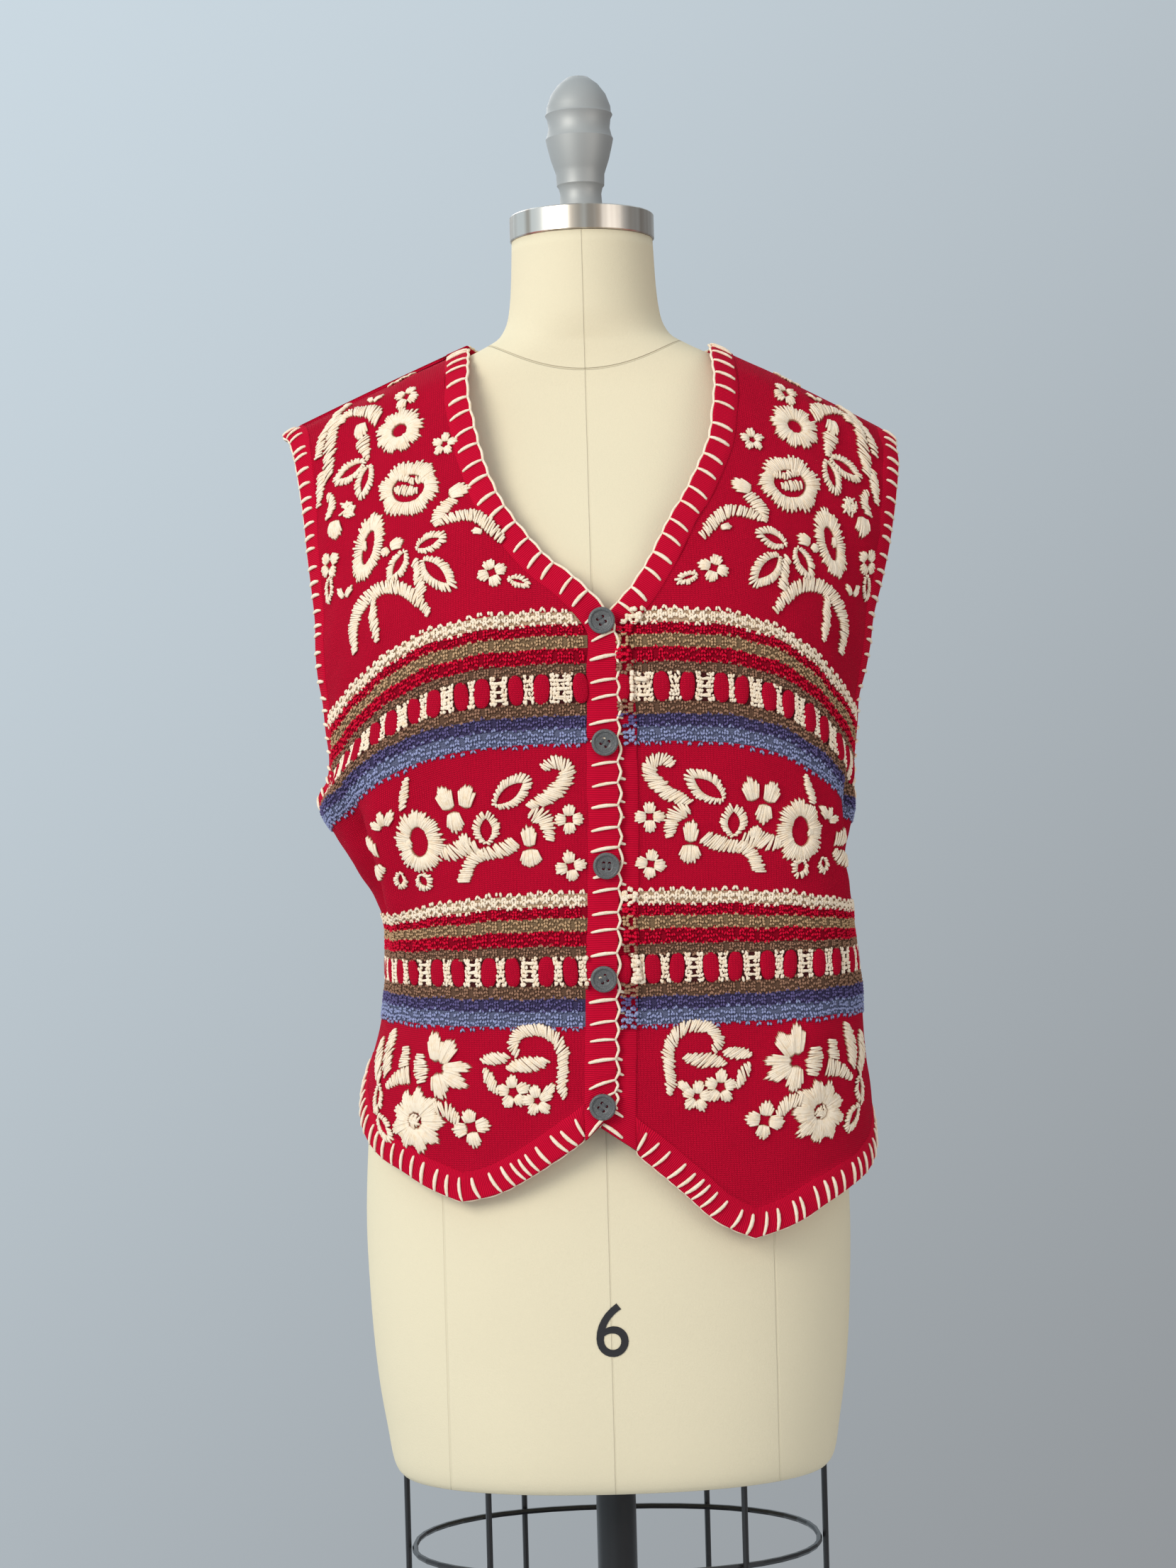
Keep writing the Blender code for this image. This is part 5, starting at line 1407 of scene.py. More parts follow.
def build_stripes(side, face, name, cream, coloured):
    """Open, thick stitches of the stripe groups on one side of the front or back."""
    cloth = CLOTH_MAPS[side, face]
    chance = np.random.default_rng(11 + 3 * side + (7 if face == BACK else 0))
    picked = {"cream": [], "coloured": []}
    columns = np.arange(STITCH_COLUMNS)
    for number, (row, stripe, k, count, pitch) in enumerate(stripe_rows()):
        across = (columns + 0.5) * THICK_WALE
        first, last = edge_reach(side, face, np.full(across.shape, row))
        under = BAND_SHOWS if (side, face) == (LEFT, FRONT) else 0.0
        here = (across > first + START_CLEAR - under) & (across < last - END_CLEAR)
        nearest = (across / EYELET_PITCH + number // 3 * 0.5 + 0.5) % 1.0 - 0.5
        if k == 1 and stripe != "cream":
            here &= np.abs(nearest) > EYELET_HALF
        size = TALL_TOOTH if stripe in ("cream", "blue") else TOOTH
        teeth = (columns % 2 - 0.4) * size * ((k == 0) - 1.0 * (k == count - 1))
        across, nearest, teeth = across[here], nearest[here], teeth[here]
        rows = row + wave(across) + teeth
        starts, ends = leg_pair(across, rows, THICK_WALE * LEG_HALF, pitch * LEG_RISE)
        spread = EYELET_SPREAD * nearest * np.exp(-EYELET_FALL * nearest ** 2) * (1 if k == 0 else -1)
        starts[:, 0] -= np.repeat(spread, 2)
        ends[:, 0] += np.repeat(spread, 2)
        shake = SHAKE if k != 1 else MIDDLE_SHAKE
        starts += chance.normal(0, shake, starts.shape)
        ends += chance.normal(0, shake, ends.shape)
        group = "cream" if stripe == "cream" else "coloured"
        picked[group].append((starts, ends, np.full(len(starts), row)))
    picked["cream"] += check_stitches(side, face, chance)
    pieces = []
    for group, finish, sides, marks, size in (
        ("cream", cream, 6, (0.0, 0.25, 0.75, 1.0), (0.00195, 0.00175)),
        ("coloured", coloured, 4, (0.0, 0.5, 1.0), (0.00225, 0.00200)),
    ):
        starts, ends, rows = (np.concatenate(parts) for parts in zip(*picked[group]))
        lift = np.array([0.0001] + [0.0006] * (len(marks) - 2) + [0.0003])
        over = starts[:, :1] < edge_reach(side, face, rows)[0][:, None]
        lift = lift[None] + OVER_LIFT * over
        paths, normals = lay(cloth, starts, ends, lift, marks)
        thick = chance.uniform(0.80, 1.15, (len(starts), 1)) * (1 + OVER_SWELL * over)
        points, faces = strands(paths, normals, size[0] * thick, size[1] * thick, sides)
        places = np.empty((*points.shape[:2], 2))
        # The first map coordinate holds how far out each point lies, which the finishes use to paint shade on
        # each strand's lower sides
        places[..., 0] = ring_heights(sides, len(marks) - 2)
        places[..., 1] = rows[:, None]
        pieces.append(in_mesh(f"{group}_stitches_{name}", points, faces, finish, places))
    return pieces


def ring_heights(sides, rings):
    """How far out each point of a strand lies, 0 beneath and 1 on top."""
    height = np.sin(round_turns(sides))
    height = height / height.max() / 2 + 0.5
    return np.concatenate([[0.0], np.tile(height, rings), [0.0]])


def check_bounds():
    """Upper and lower row of the checked stripe in each group."""
    total = sum(height for _, height, _ in STRIPES)
    before = sum(height for _, height, _ in STRIPES[:CHECK_STRIPE])
    size = STRIPES[CHECK_STRIPE][1]
    return [
        (top - (top - bottom) * before / total, top - (top - bottom) * (before + size) / total)
        for top, bottom in STRIPE_GROUPS
    ]


def oval_places(side, face, middle, number):
    """Where a checked stripe starts and ends, and the middles of the ovals on it."""
    first, last = edge_reach(side, face, np.array([middle]))
    first = first[0] - (BAND_SHOWS if (side, face) == (LEFT, FRONT) else 0.0)
    shift = OVAL_SHIFTS.get((side, face), (0.0, 0.0))[number]
    middles = (OVALS[number][0] - OVAL_BEFORE, *OVALS[number], OVALS[number][-1] + OVAL_AFTER)
    middles = [place - shift for place in middles]
    return first, last[0], [place for place in middles if first < place < last[0] - OVAL_WIDTH / 2]


def check_stitches(side, face, chance):
    """Openwork between the ovals: chains at each side of a gap, and links with holes between them."""
    picked = []
    for number, (upper, lower) in enumerate(check_bounds()):
        first, last, ovals = oval_places(side, face, (upper + lower) / 2, number)
        bounds = [first - OVAL_WIDTH / 2, *ovals, last + OVAL_WIDTH / 2]
        rows = np.linspace(upper - CHECK_MARGIN, lower + CHECK_MARGIN, CHECK_ROWS)
        rise = (upper - lower) / CHECK_ROWS * CHECK_RISE
        for left, right in zip(bounds, bounds[1:]):
            middle, gap = (left + right) / 2, right - left - OVAL_WIDTH
            if gap < LEAST_GAP:
                continue
            wide, broad = gap > WIDE_GAP, gap > BROAD_GAP
            for k, row in enumerate(rows):
                flare = CHAIN_FLARE * abs(2 * k / (CHECK_ROWS - 1) - 1) ** 2
                spread = gap / 2 - (WIDE_CHAIN_INSET if wide else CHAIN_INSET) + flare
                for way in (-1, 1):
                    outer, inner = middle + way * (spread + 0.0011), middle + way * (spread - 0.0009)
                    knot, foot = middle + way * spread, row - rise * 0.7
                    starts = ((outer, row + rise * 1.1), (inner, row + rise))
                    ends = ((knot + way * 0.0003, foot), (knot - way * 0.0003, foot))
                    picked.append((starts, ends, row))
                    for step in range(wide + broad):
                        begin = knot - way * CHAIN_STEP * step
                        away = inner - way * (0.0022 + CHAIN_STEP * step)
                        starts = ((begin - way * 0.0011, row + rise * 1.0), (away, row + rise * 0.5))
                        ends = (
                            (begin - way * 0.0018, row - rise * 0.8),
                            (begin - way * 0.0008, row - rise * 0.5),
                        )
                        picked.append((starts, ends, row))
                if k % 2 == 1:
                    reach = spread - 0.0004
                    starts = ((middle - reach, row + 0.0005), (middle - reach, row - 0.0007))
                    ends = ((middle + reach, row - 0.0004), (middle + reach, row + 0.0004))
                    picked.append((starts, ends, row))
    return [
        (starts + chance.normal(0, CHECK_SHAKE, (2, 2)), ends + chance.normal(0, CHECK_SHAKE, (2, 2)),
         np.full(2, row))
        for starts, ends, row in picked
    ]


def build_ovals(side, face, name, finish):
    """Smooth puffed ovals of red knitting in the checked stripes."""
    cloth = CLOTH_MAPS[side, face]
    marks = np.array([0.0, 0.03, 0.10, 0.25, 0.42, 0.58, 0.75, 0.90, 0.97, 1.0])
    full = np.sqrt(1 - np.abs(2 * marks[1:-1] - 1) ** 5)
    starts, ends, sizes = [], [], []
    for number, (upper, lower) in enumerate(check_bounds()):
        for k, centre in enumerate(oval_places(side, face, (upper + lower) / 2, number)[2]):
            tilt = OVAL_TILT * (1 if k % 2 else -1)
            starts.append((centre + tilt, lower - OVAL_OVERHANG))
            ends.append((centre - tilt, upper + OVAL_OVERHANG))
            sizes.append(OVAL_WIDTH * OVAL_SIZES[k % 2])
    starts, ends = np.array(starts), np.array(ends)
    widths = np.array(sizes)[:, None] * (0.80 + 0.20 * np.sin(math.pi * marks[1:-1]))[None] * full[None]
    lift = np.full((len(starts), len(marks)), 0.0002)
    if face == FRONT:
        lift[starts[:, 0] < 0.020] += 0.0010
    paths, normals = lay(cloth, starts, ends, lift, marks)
    heights = OVAL_PUFF * 2 * full[None] * np.ones_like(widths)
    points, faces = strands(paths, normals, widths, heights, OVAL_SIDES)
    way = starts[:, None] * (1 - marks[:, None]) + ends[:, None] * marks[:, None]
    aside = widths[..., None] / 2 * np.cos(round_turns(OVAL_SIDES))
    ring = way[:, 1:-1, None] + np.stack([aside, np.zeros_like(aside)], axis=-1)
    places = np.concatenate([way[:, :1], ring.reshape(len(starts), -1, 2), way[:, -1:]], axis=1)
    return in_mesh(f"ovals_{name}", points, faces, finish, places)


def along_curve(points, widths, spacing):
    """Places at even spacing on a smooth curve, with the way along it and the width there."""
    points = np.asarray(points, complex)
    widths = np.interp(np.linspace(0, 1, len(points)), np.linspace(0, 1, len(widths)), widths)
    fine = refined(np.stack([points.real, points.imag, widths], axis=1), 14)
    steps = np.abs(np.diff(fine[:, 0] + 1j * fine[:, 1]))
    along = np.concatenate([[0], np.cumsum(steps)])
    count = max(2, int(round(along[-1] / spacing)) + 1)
    at = np.linspace(0, along[-1], count)
    place = np.interp(at, along, fine[:, 0]) + 1j * np.interp(at, along, fine[:, 1])
    run = np.gradient(place)
    return place, run / np.abs(run), np.interp(at, along, fine[:, 2])


def places_of(values):
    """The places among a motif's values, which may lie in groups."""
    groups = [value if isinstance(value, tuple) else (value,) for value in values]
    return [place for group in groups for place in group if isinstance(place, complex)]


class Needlework:
    """Satin stitches on one side of the front or back, gathered motif by motif.

    Places are complex numbers in millimetres: distance across, and row as the imaginary part. A motif
    is worked on a flat frame, level and upright where it lies, and then taken to the cloth."""

    def __init__(self, side, face, seed):
        self.chance = random.Random(seed)
        self.side, self.face = side, face
        self.cloth = CLOTH_MAPS[side, face]
        self.stitches, self.sewn = [], []

    def frame_at(self, anchor):
        """How a step on the level, upright frame changes the place on the cloth, as a matrix."""
        across, row, step = anchor.real / 1000, anchor.imag / 1000, 0.004
        across = min(across, float(self.cloth.width(row)) - 2 * step)
        row = min(row, RIDGE_ROW - 2 * step)
        here = self.cloth.at(across, row)
        tangents = np.stack([
            (self.cloth.at(across + step, row) - here) / step,
            (self.cloth.at(across, row + step) - here) / step,
        ])
        normal = self.cloth.normal_at(across, row)
        level = np.cross((0.0, 0.0, 1.0), normal)
        level *= self.side * np.sign(level[0]) / np.linalg.norm(level)
        upright = np.cross(normal, level)
        upright *= np.sign(upright[2])
        return np.linalg.solve(tangents @ tangents.T, tangents @ np.stack([level, upright], axis=1))

    def sew(self, motif):
        """Works one motif: its kind, places and sizes, and any settings by name."""
        kind, *values = motif
        settings = values.pop() if isinstance(values[-1], dict) else {}
        places = places_of(values)
        anchor = sum(places) / len(places)
        matrix = self.frame_at(anchor)
        back = np.linalg.inv(matrix)

        def flat(value):
            if isinstance(value, tuple):
                return tuple(flat(v) for v in value)
            if not isinstance(value, complex):
                return value
            return complex(*(back @ ((value - anchor).real, (value - anchor).imag)))

        self.stitches = []
        getattr(self, kind)(*(flat(value) for value in values), **settings)
        for start, end, width in self.stitches:
            ends = [anchor + complex(*(matrix @ (p.real, p.imag))) for p in (start, end)]
            self.sewn.append((*ends, width))

    def jag(self, amount):
        return self.chance.uniform(-amount, amount)

    def stitch(self, start, end, width=YARN_WIDTH):
        size = width * self.chance.uniform(0.86, 1.12)
        self.stitches.append((start, end, size))

    def band(self, points, widths, slant=20, jag=0.9):
        """A satin stroke along a curve, its stitches laid across it at a slant."""
        for k, (place, run, width) in enumerate(zip(*along_curve(points, widths, STITCH_STEP))):
            turn = 1j * np.exp(-1j * math.radians(slant + self.jag(7)))
            half = run * turn * (width / 2 + 1.0)
            end = half / abs(half) * (0.9 if k % 2 else -0.1)
            self.stitch(place - half - end + self.jag(jag), place + half + end + self.jag(jag))

    def leaf(self, base, tip, width, slant=38):
        """A filled leaf, widest in its middle."""
        shape = np.sin(np.linspace(0.10, math.pi - 0.18, 9)) ** 0.7
        curve = [base + (tip - base) * t for t in np.linspace(0, 1, 9)]
        self.band(curve, width * shape / math.cos(math.radians(slant)) ** 0.5, slant)

    def open_leaf(self, base, tip, width, hole=0.40, lean=2.2):
        """A leaf with a bare middle, its stitches slanting to its tip."""
        axis, width = tip - base, width * 1.12
        forward = axis / abs(axis)
        count = max(7, int(abs(axis) / 1.55))
        for flank in (1j, -1j):
            for k in range(count + 1):
                t = k / count
                swell = math.sin(math.pi * min(t * 0.93 + 0.04, 1.0)) ** 0.75
                outer = base + axis * t + forward * flank * width / 2 * swell
                inner = base + axis * (0.14 + 0.66 * t)
                inner += forward * flank * width / 2 * hole * math.sin(math.pi * t) ** 0.8
                outer += forward * (lean * (1 - 0.4 * t) + self.jag(0.9))
                outer += forward * flank * (1.1 if k % 2 else 0.2)
                outer += forward * flank * self.jag(0.5)
                self.stitch(inner, outer)

    def petal(self, base, tip, width, root=0.25):
        """A petal whose stitches run along it."""
        side = (tip - base) / abs(tip - base) * 1j
        tip, width = tip + (tip - base) * 0.08, width * 1.15
        count = max(3, int(round(width / (STITCH_STEP * 0.88))))
        for k in range(count):
            s = (k + 0.5) / count * 2 - 1
            start = base + side * s * width * root + (tip - base) * 0.10 * s * s
            end = tip + side * s * width * 0.46 - (tip - base) * (0.36 * s * s + self.jag(0.08))
            end += (tip - base) / abs(tip - base) * (1.0 if k % 2 else 0.0)
            self.stitch(start, end)

    def flower(self, centre, radius, petals=5, hollow=1.6, turn=90, fill=0.92):
        """A small flower of satin petals round a bare middle."""
        width = 2 * math.pi * radius * 0.64 / petals * fill
        for k in range(petals):
            way = np.exp(1j * math.radians(turn + 360 * k / petals))
            long = radius * (1 + self.jag(0.06))
            self.petal(centre + way * hollow, centre + way * long, width)

    def ring(self, centre, inner, outer, lobes=0, depth=0.16, turn=0, swirl=0, jag=1.1):
        """A satin ring: inner and outer are its half sizes across and up."""
        around = 2 * math.pi * sum(outer) / 2 * 0.86
        count = int(around / STITCH_STEP)
        tip = np.exp(1j * math.radians(turn))
        for k in range(count):
            angle = math.radians(360 * (k + 0.5) / count)
            there = angle + math.radians(swirl)
            bulge = 1 - depth * (1 - abs(math.cos(lobes * angle / 2)) ** 0.7) if lobes else 1
            start = complex(inner[0] * math.cos(angle), inner[1] * math.sin(angle))
            end = complex(outer[0] * math.cos(there), outer[1] * math.sin(there)) * bulge
            end *= 1 + (self.jag(jag) + (1.3 if k % 2 else -0.3)) / abs(end)
            self.stitch(centre + start * tip, centre + end * tip)

    def knot(self, centre, radius):
        """A tight cluster of short crossing stitches."""
        for k in range(int(radius * 4.2)):
            way = np.exp(1j * self.chance.uniform(0, 2 * math.pi))
            place = centre + way * radius * 0.70 * self.chance.uniform(0.1, 1)
            reach = np.exp(1j * self.chance.uniform(0, math.pi)) * radius * 0.45
            self.stitch(place - reach, place + reach)

    def laid(self, name, finish):
        """The stitches as one piece of yarn on the cloth."""
        starts = np.array([(s.real, s.imag) for s, _, _ in self.sewn]) / 1000
        ends = np.array([(e.real, e.imag) for _, e, _ in self.sewn]) / 1000
        widths = np.array([w for _, _, w in self.sewn])[:, None]
        inner, outer = (np.interp(starts[:, 1], *values) for values in self.limits())
        kept = (starts[:, 0] > inner) & (ends[:, 0] > inner - 0.001)
        kept &= (starts[:, 0] < outer) & (ends[:, 0] < outer + 0.001)
        starts, ends, widths = starts[kept], ends[kept], widths[kept]
        marks = (0.0, 0.13, 0.5, 0.87, 1.0)
        order = self.order_of(len(starts))
        over = 0.0006 * ((starts[:, 0] < inner[kept] + 0.0085) | (starts[:, 0] > outer[kept] - 0.0085))
        lift = np.array([-0.0006, 0.0005, 0.0010, 0.0005, -0.0006])[None] + (order + over)[:, None]
        paths, normals = lay(self.cloth, starts, ends, lift, marks)
        points, faces = strands(paths, normals, widths, widths * 0.95, 6)
        places = np.zeros((len(starts), 20, 2))
        # The first map coordinate holds how far out each point lies, for the finish's painted shade on each
        # stitch's lower sides
        places[..., 0] = ring_heights(6, 3)
        places[..., 1] = starts[:, 1:]
        return in_mesh("embroidery_" + name, points, faces, finish, places)

    @staticmethod
    def order_of(count):
        """Small differences in height, which let one stitch lie over the next."""
        return np.random.default_rng(count).uniform(0, 0.00060, count)

    def limits(self):
        """Rows, and how near the panel's edges a stitch may start, as two curves."""
        rows = np.linspace(0.74, RIDGE_ROW, 60)
        outer = side_edge(self.side, self.face)
        end = np.interp(rows, outer[:, 1], outer[:, 0]) + 0.0050
        if self.face == BACK:
            return (rows, np.full(60, -0.001)), (rows, end)
        inner = front_edges(self.side)[0]
        return (rows, np.interp(rows, inner[:, 1], inner[:, 0]) - 0.0075), (rows, end)


def bar_places(edge, name, pitch, chance, start=0.004):
    """How far along a band each bar of its blanket stitch lies."""
    count = int((edge.length - 2 * start) / pitch)
    foot = start + (np.arange(count + 1)) * (edge.length - 2 * start) / count
    if edge.closed:
        foot = np.arange(count) * edge.length / count
    foot = foot + chance.normal(0, pitch * 0.10, foot.shape)
    if "hem" in name:
        near = np.exp(-(((foot - CROWDED) / CROWDED_SPREAD) ** 2))
        foot = foot - (foot - CROWDED) * CROWDED_SHARE * near
    return foot


def blanket(edge, name, finish, pitch, length, lean, cord_share, bow=0.0008):
    """Blanket stitch along a band: bars from the cloth out to its free edge, and the cord there."""
    chance = np.random.default_rng(len(name) + int(pitch * 1e5))
    foot = bar_places(edge, name, pitch, chance)
    marks = np.array(BAR_MARKS)
    reach = np.minimum(length, edge.read(foot)[3][:, 0]) * chance.uniform(0.90, 1.0, foot.shape)
    inward = reach[:, None] * (1 - marks)[None]
    slope = lean + chance.normal(0, 0.0006, foot.shape)
    along = foot[:, None] + slope[:, None] * (1 - marks) + bow * np.sin(math.pi * marks)[None]
    inward[:, -1] -= BAR_TUCK
    rise = BAND_THICKNESS / 2 + np.array(BAR_RISES)
    paths = edge.on(along, inward, np.broadcast_to(rise, along.shape))
    facing = edge.read(along)[2]
    widths = BAR_WIDTH * chance.uniform(0.85, 1.1, (len(foot), 1)) * np.array(BAR_SHAPE)
    bars, bar_faces = strands(paths, facing, widths, widths * 0.8, 6)
    steps = int(edge.length / CORD_STEP)
    at = np.linspace(0.0, edge.length, steps + 1)
    nearest = np.abs(at[:, None] - foot[None]).min(axis=1)
    straight = (edge.read(at)[0][:, 2] < 1.15) & ("front" in name)
    loose = np.where(straight, LOOSE_CORD, TIGHT_CORD)
    away = (np.clip(nearest / pitch * 2, 0, 1) ** 0.7 * 1.3 - 0.6) * loose * cord_share
    cord_path = edge.on(at, -away, np.full(at.shape, 0.0040 * (cord_share - 0.85)))
    cord_path[0] += (cord_path[0] - cord_path[1]) * 0.2
    facing = edge.read(at)[2]
    size = CORD_WIDTH * cord_share
    cord, cord_faces = strands(cord_path[None], facing[None], size * 1.15, size * 1.15, 7)
    shift = bars.shape[0] * bars.shape[1]
    points = np.concatenate([bars.reshape(-1, 3), cord.reshape(-1, 3)])
    groups = [np.concatenate([a, b + shift]) for a, b in zip(bar_faces, cord_faces)]
    return in_mesh(name, points, groups, finish, points[:, [0, 2]])


# The embroidered motifs of one half of a front, as places on the cloth: distance across and row, both
# in millimetres. Sizes are in millimetres and turns in degrees.
YOKE = (
    ("flower", 155+1421j, 5.5, 5, 1.0, 80),
    ("petal", 150+1417j, 144+1421j, 3.2),
    ("petal", 160+1424j, 166+1420j, 3.2),
    ("flower", 149+1369j, 10.0, 4, 2.2, 100),
    ("petal", 178+1388j, 181+1402j, 4.4),
    ("petal", 177+1386j, 169+1390j, 3.8),
    ("ring", 154+1341j, (5.0, 5.0), (20.0, 20.0), {"lobes": 9, "depth": 0.22, "swirl": 4}),
    ("flower", 116+1310j, 9.0, 5, 1.8, 90),
    ("band", (204+1377j, 201+1387j, 194+1387j, 186+1380j, 177+1371j, 172+1361j), (6, 9, 9, 10, 13, 9)),
    ("petal", 187+1366j, 187+1352j, 11.5),
    ("band", (186+1351j, 184+1343j, 181+1332j), (12, 8, 1), {"slant": 5}),
    ("band", (200+1424j, 207+1406j, 210+1379j, 214+1362j, 217+1351j, 219+1339j),
     (5, 8, 9, 11, 12, 8), {"slant": 35}),
    ("band", (212+1394j, 219+1378j, 223+1366j, 226+1358j), (4, 8, 9, 4), {"slant": 35}),
    ("open_leaf", 181+1332j, 213+1332j, 15),
    ("open_leaf", 179+1329j, 188+1306j, 14),
    ("band", (225+1345j, 227+1334j, 230+1323j), (6, 8, 2), {"slant": 30}),
    ("band", (219+1325j, 216+1316j, 220+1309j), (4, 9, 5), {"slant": 40}),
    ("petal", 214+1305j, 214+1291j, 14),
    ("knot", 201+1305j, 8.5),
    ("ring", 145+1290j, (12.0, 10.0), (25.0, 23.5), {"lobes": 6, "depth": 0.16, "swirl": 3}),
    ("band", (156+1295j, 151+1292j, 143+1287j, 137+1284j), (2, 6, 6, 2), {"slant": 0}),
    ("band", (154+1303j, 148+1300j, 143+1295j), (2, 4, 2), {"slant": 0}),
    ("band", (142+1293j, 136+1292j, 131+1289j), (2, 4, 2), {"slant": 0}),
    ("petal", 112+1268j, 96+1268j, 11.5),
    ("band", (108+1263j, 114+1260j, 119+1255j, 119+1248j), (7, 9, 9, 3)),
    ("band", (118+1249j, 109+1249j, 99+1247j, 91+1244j, 84+1238j, 78+1231j, 71+1221j),
     (4, 8, 8, 9, 9, 9, 5)),
    ("petal", 84+1229j, 92+1233j, 5),
    ("ring", 181+1266j, (4.6, 12.0), (14.0, 27.0), {"lobes": 9, "depth": 0.1, "turn": 5}),
    ("petal", 185+1274j, 185+1266j, 4.5),
    ("petal", 161+1254j, 149+1252j, 9.5),
    ("petal", 161+1253j, 167+1252j, 7),
    ("open_leaf", 145+1244j, 159+1225j, 15),
    ("open_leaf", 139+1239j, 112+1236j, 14),
    ("open_leaf", 132+1229j, 106+1192j, 17),
    ("band", (137+1229j, 134+1216j, 131+1199j), (4, 7, 8), {"slant": 35}),
    ("flower", 78+1198j, 10.0, 4, 2.0, 70),
    ("open_leaf", 67+1192j, 51+1185j, 7, {"hole": 0.3, "lean": 1.0}),
    ("flower", 223+1277j, 10.0, 4, 2.0, 50),
    ("open_leaf", 224+1270j, 228+1252j, 9, {"lean": 1.2}),
    ("band", (197+1190j, 198+1213j, 188+1225j, 170+1226j, 151+1215j, 136+1198j, 125+1179j),
     (5, 9, 10, 9, 9, 9, 4)),
    ("leaf", 171+1182j, 177+1222j, 8),
    ("petal", 207+1243j, 213+1254j, 5),
    ("petal", 205+1242j, 198+1246j, 5),
)
MIDDLE = (
    ("band", (45+1057j, 39+1061j, 32+1060j, 28+1057j), (4, 8, 9, 9)),
    ("band", (28+1057j, 31+1048j, 39+1039j, 48+1034j, 56+1031j), (9, 13, 12, 9, 3), {"slant": 35}),
    ("band", (55+1027j, 48+1024j, 43+1016j, 42+1007j), (5, 13, 9, 5), {"slant": -15}),
    ("open_leaf", 83+1032j, 55+1051j, 17, {"hole": 0.45, "lean": 3}),
    ("petal", 113+1035j, 119+1052j, 13),
    ("petal", 102+1034j, 99+1050j, 13),
    ("petal", 111+1035j, 108+1020j, 13),
    ("open_leaf", 87+1006j, 87+1030j, 17, {"hole": 0.42}),
    ("band", (121+1007j, 113+1006j, 104+1008j, 94+1007j), (5, 12, 12, 7)),
    ("petal", 101+1007j, 104+1017j, 9),
    ("band", (93+1001j, 84+1001j, 74+1003j, 66+1007j), (8, 9, 11, 8)),
    ("band", (90+1002j, 99+997j, 105+984j), (9, 9, 8)),
    ("petal", 56+1002j, 57+1017j, 11),
    ("petal", 56+1002j, 55+989j, 16),
    ("flower", 28+1021j, 9.8, 4, 1.8, 90),
    ("flower", 28+988j, 9.8, 4, 1.8, 80),
    ("ring", 139+1021j, (6.5, 10.0), (20.0, 23.0), {"lobes": 8, "depth": 0.12, "swirl": 5}),
    ("petal", 149+1027j, 146+1020j, 4.5),
    ("open_leaf", 141+999j, 133+984j, 13),
    ("open_leaf", 157+1006j, 160+993j, 10),
    ("band", (146+1067j, 149+1058j, 151+1049j), (2, 6, 4), {"slant": 40}),
    ("petal", 168+1043j, 171+1054j, 6), ("petal", 167+1043j, 160+1050j, 6),
    ("petal", 169+1043j, 179+1050j, 6), ("band", (200+1041j, 188+1037j, 177+1030j), (4, 12, 8)),
    ("band", (173+1016j, 184+1013j, 196+1012j), (4, 11, 5)),
)
LOWER = (
    ("band", (69+855j, 72+862j, 68+870j, 59+873j, 49+872j, 41+866j, 37+857j, 37+845j, 38+833j, 36+826j),
     (3, 8, 9, 9, 9, 9, 8, 7, 7, 2), {"slant": 30}),
    ("leaf", 76+845j, 49+852j, 12),
    ("leaf", 94+850j, 77+855j, 10),
    ("leaf", 94+844j, 84+830j, 8),
    ("flower", 73+829j, 11.5, 5, 2.4, 85),
    ("flower", 56+823j, 11.0, 5, 1.6, 80),
    ("petal", 51+827j, 44+834j, 7),
    ("petal", 129+848j, 130+870j, 12),
    ("petal", 126+847j, 116+865j, 12),
    ("petal", 126+845j, 105+846j, 9),
    ("petal", 126+842j, 107+833j, 11),
    ("petal", 129+842j, 125+824j, 14),
    ("band", (143+853j, 143+843j, 141+834j), (8, 15, 8), {"slant": 0}),
    ("band", (159+857j, 162+844j), (6, 11)),
    ("band", (179+828j, 167+835j, 155+838j), (3, 9, 13), {"slant": 0}),
    ("band", (178+867j, 182+853j, 180+837j), (8, 17, 9), {"slant": 35}),
    ("band", (200+858j, 198+844j, 190+831j), (8, 16, 9), {"slant": 35}),
    ("open_leaf", 190+830j, 192+808j, 12),
    ("open_leaf", 190+808j, 170+791j, 11),
    ("flower", 147+807j, 22.0, 9, 4.0, 100, {"fill": 1.25}),
    ("knot", 147+807j, 6.0),
    ("band", (130+817j, 121+815j, 113+808j), (9, 11, 5), {"slant": 30}),
    ("flower", 104+804j, 13.0, 4, 2.6, 80, {"fill": 0.85}),
)

# Further motifs of each half of the back, which has no opening and rises higher at the neck
BACK_MIDDLE = (
    ("ring", 30+1262j, (5.0, 5.0), (17.0, 17.0), {"lobes": 7, "depth": 0.18, "swirl": 4}),
    ("open_leaf", 52+1262j, 80+1270j, 14), ("open_leaf", 50+1252j, 76+1240j, 13),
    ("flower", 60+1300j, 9.5, 5, 1.8, 90), ("flower", 22+1298j, 8.5, 5, 1.6, 80),
    ("petal", 30+1238j, 30+1224j, 8), ("leaf", 40+1234j, 60+1216j, 8),
    ("flower", 18+1206j, 9.0, 4, 1.8, 90), ("leaf", 84+1222j, 96+1206j, 8),
    ("flower", 12+1022j, 9.0, 4, 1.8, 90), ("flower", 14+839j, 10.5, 5, 2.0, 90),
)
# Motifs that reach lower than this row are left off the back, which is shorter than the fronts
BACK_LOWEST = 832


def build_embroidery(side, face, name, finish):
    """All the motifs of one side of the front or back."""
    work = Needlework(side, face, 5 + side + (3 if face == BACK else 0))
    tables = (YOKE, MIDDLE, LOWER) if face == FRONT else (YOKE, MIDDLE, LOWER, BACK_MIDDLE)
    for table in tables:
        for motif in table:
            if face == FRONT or min(place.imag for place in places_of(motif)) >= BACK_LOWEST:
                work.sew(motif)
    return work.laid(name, finish)


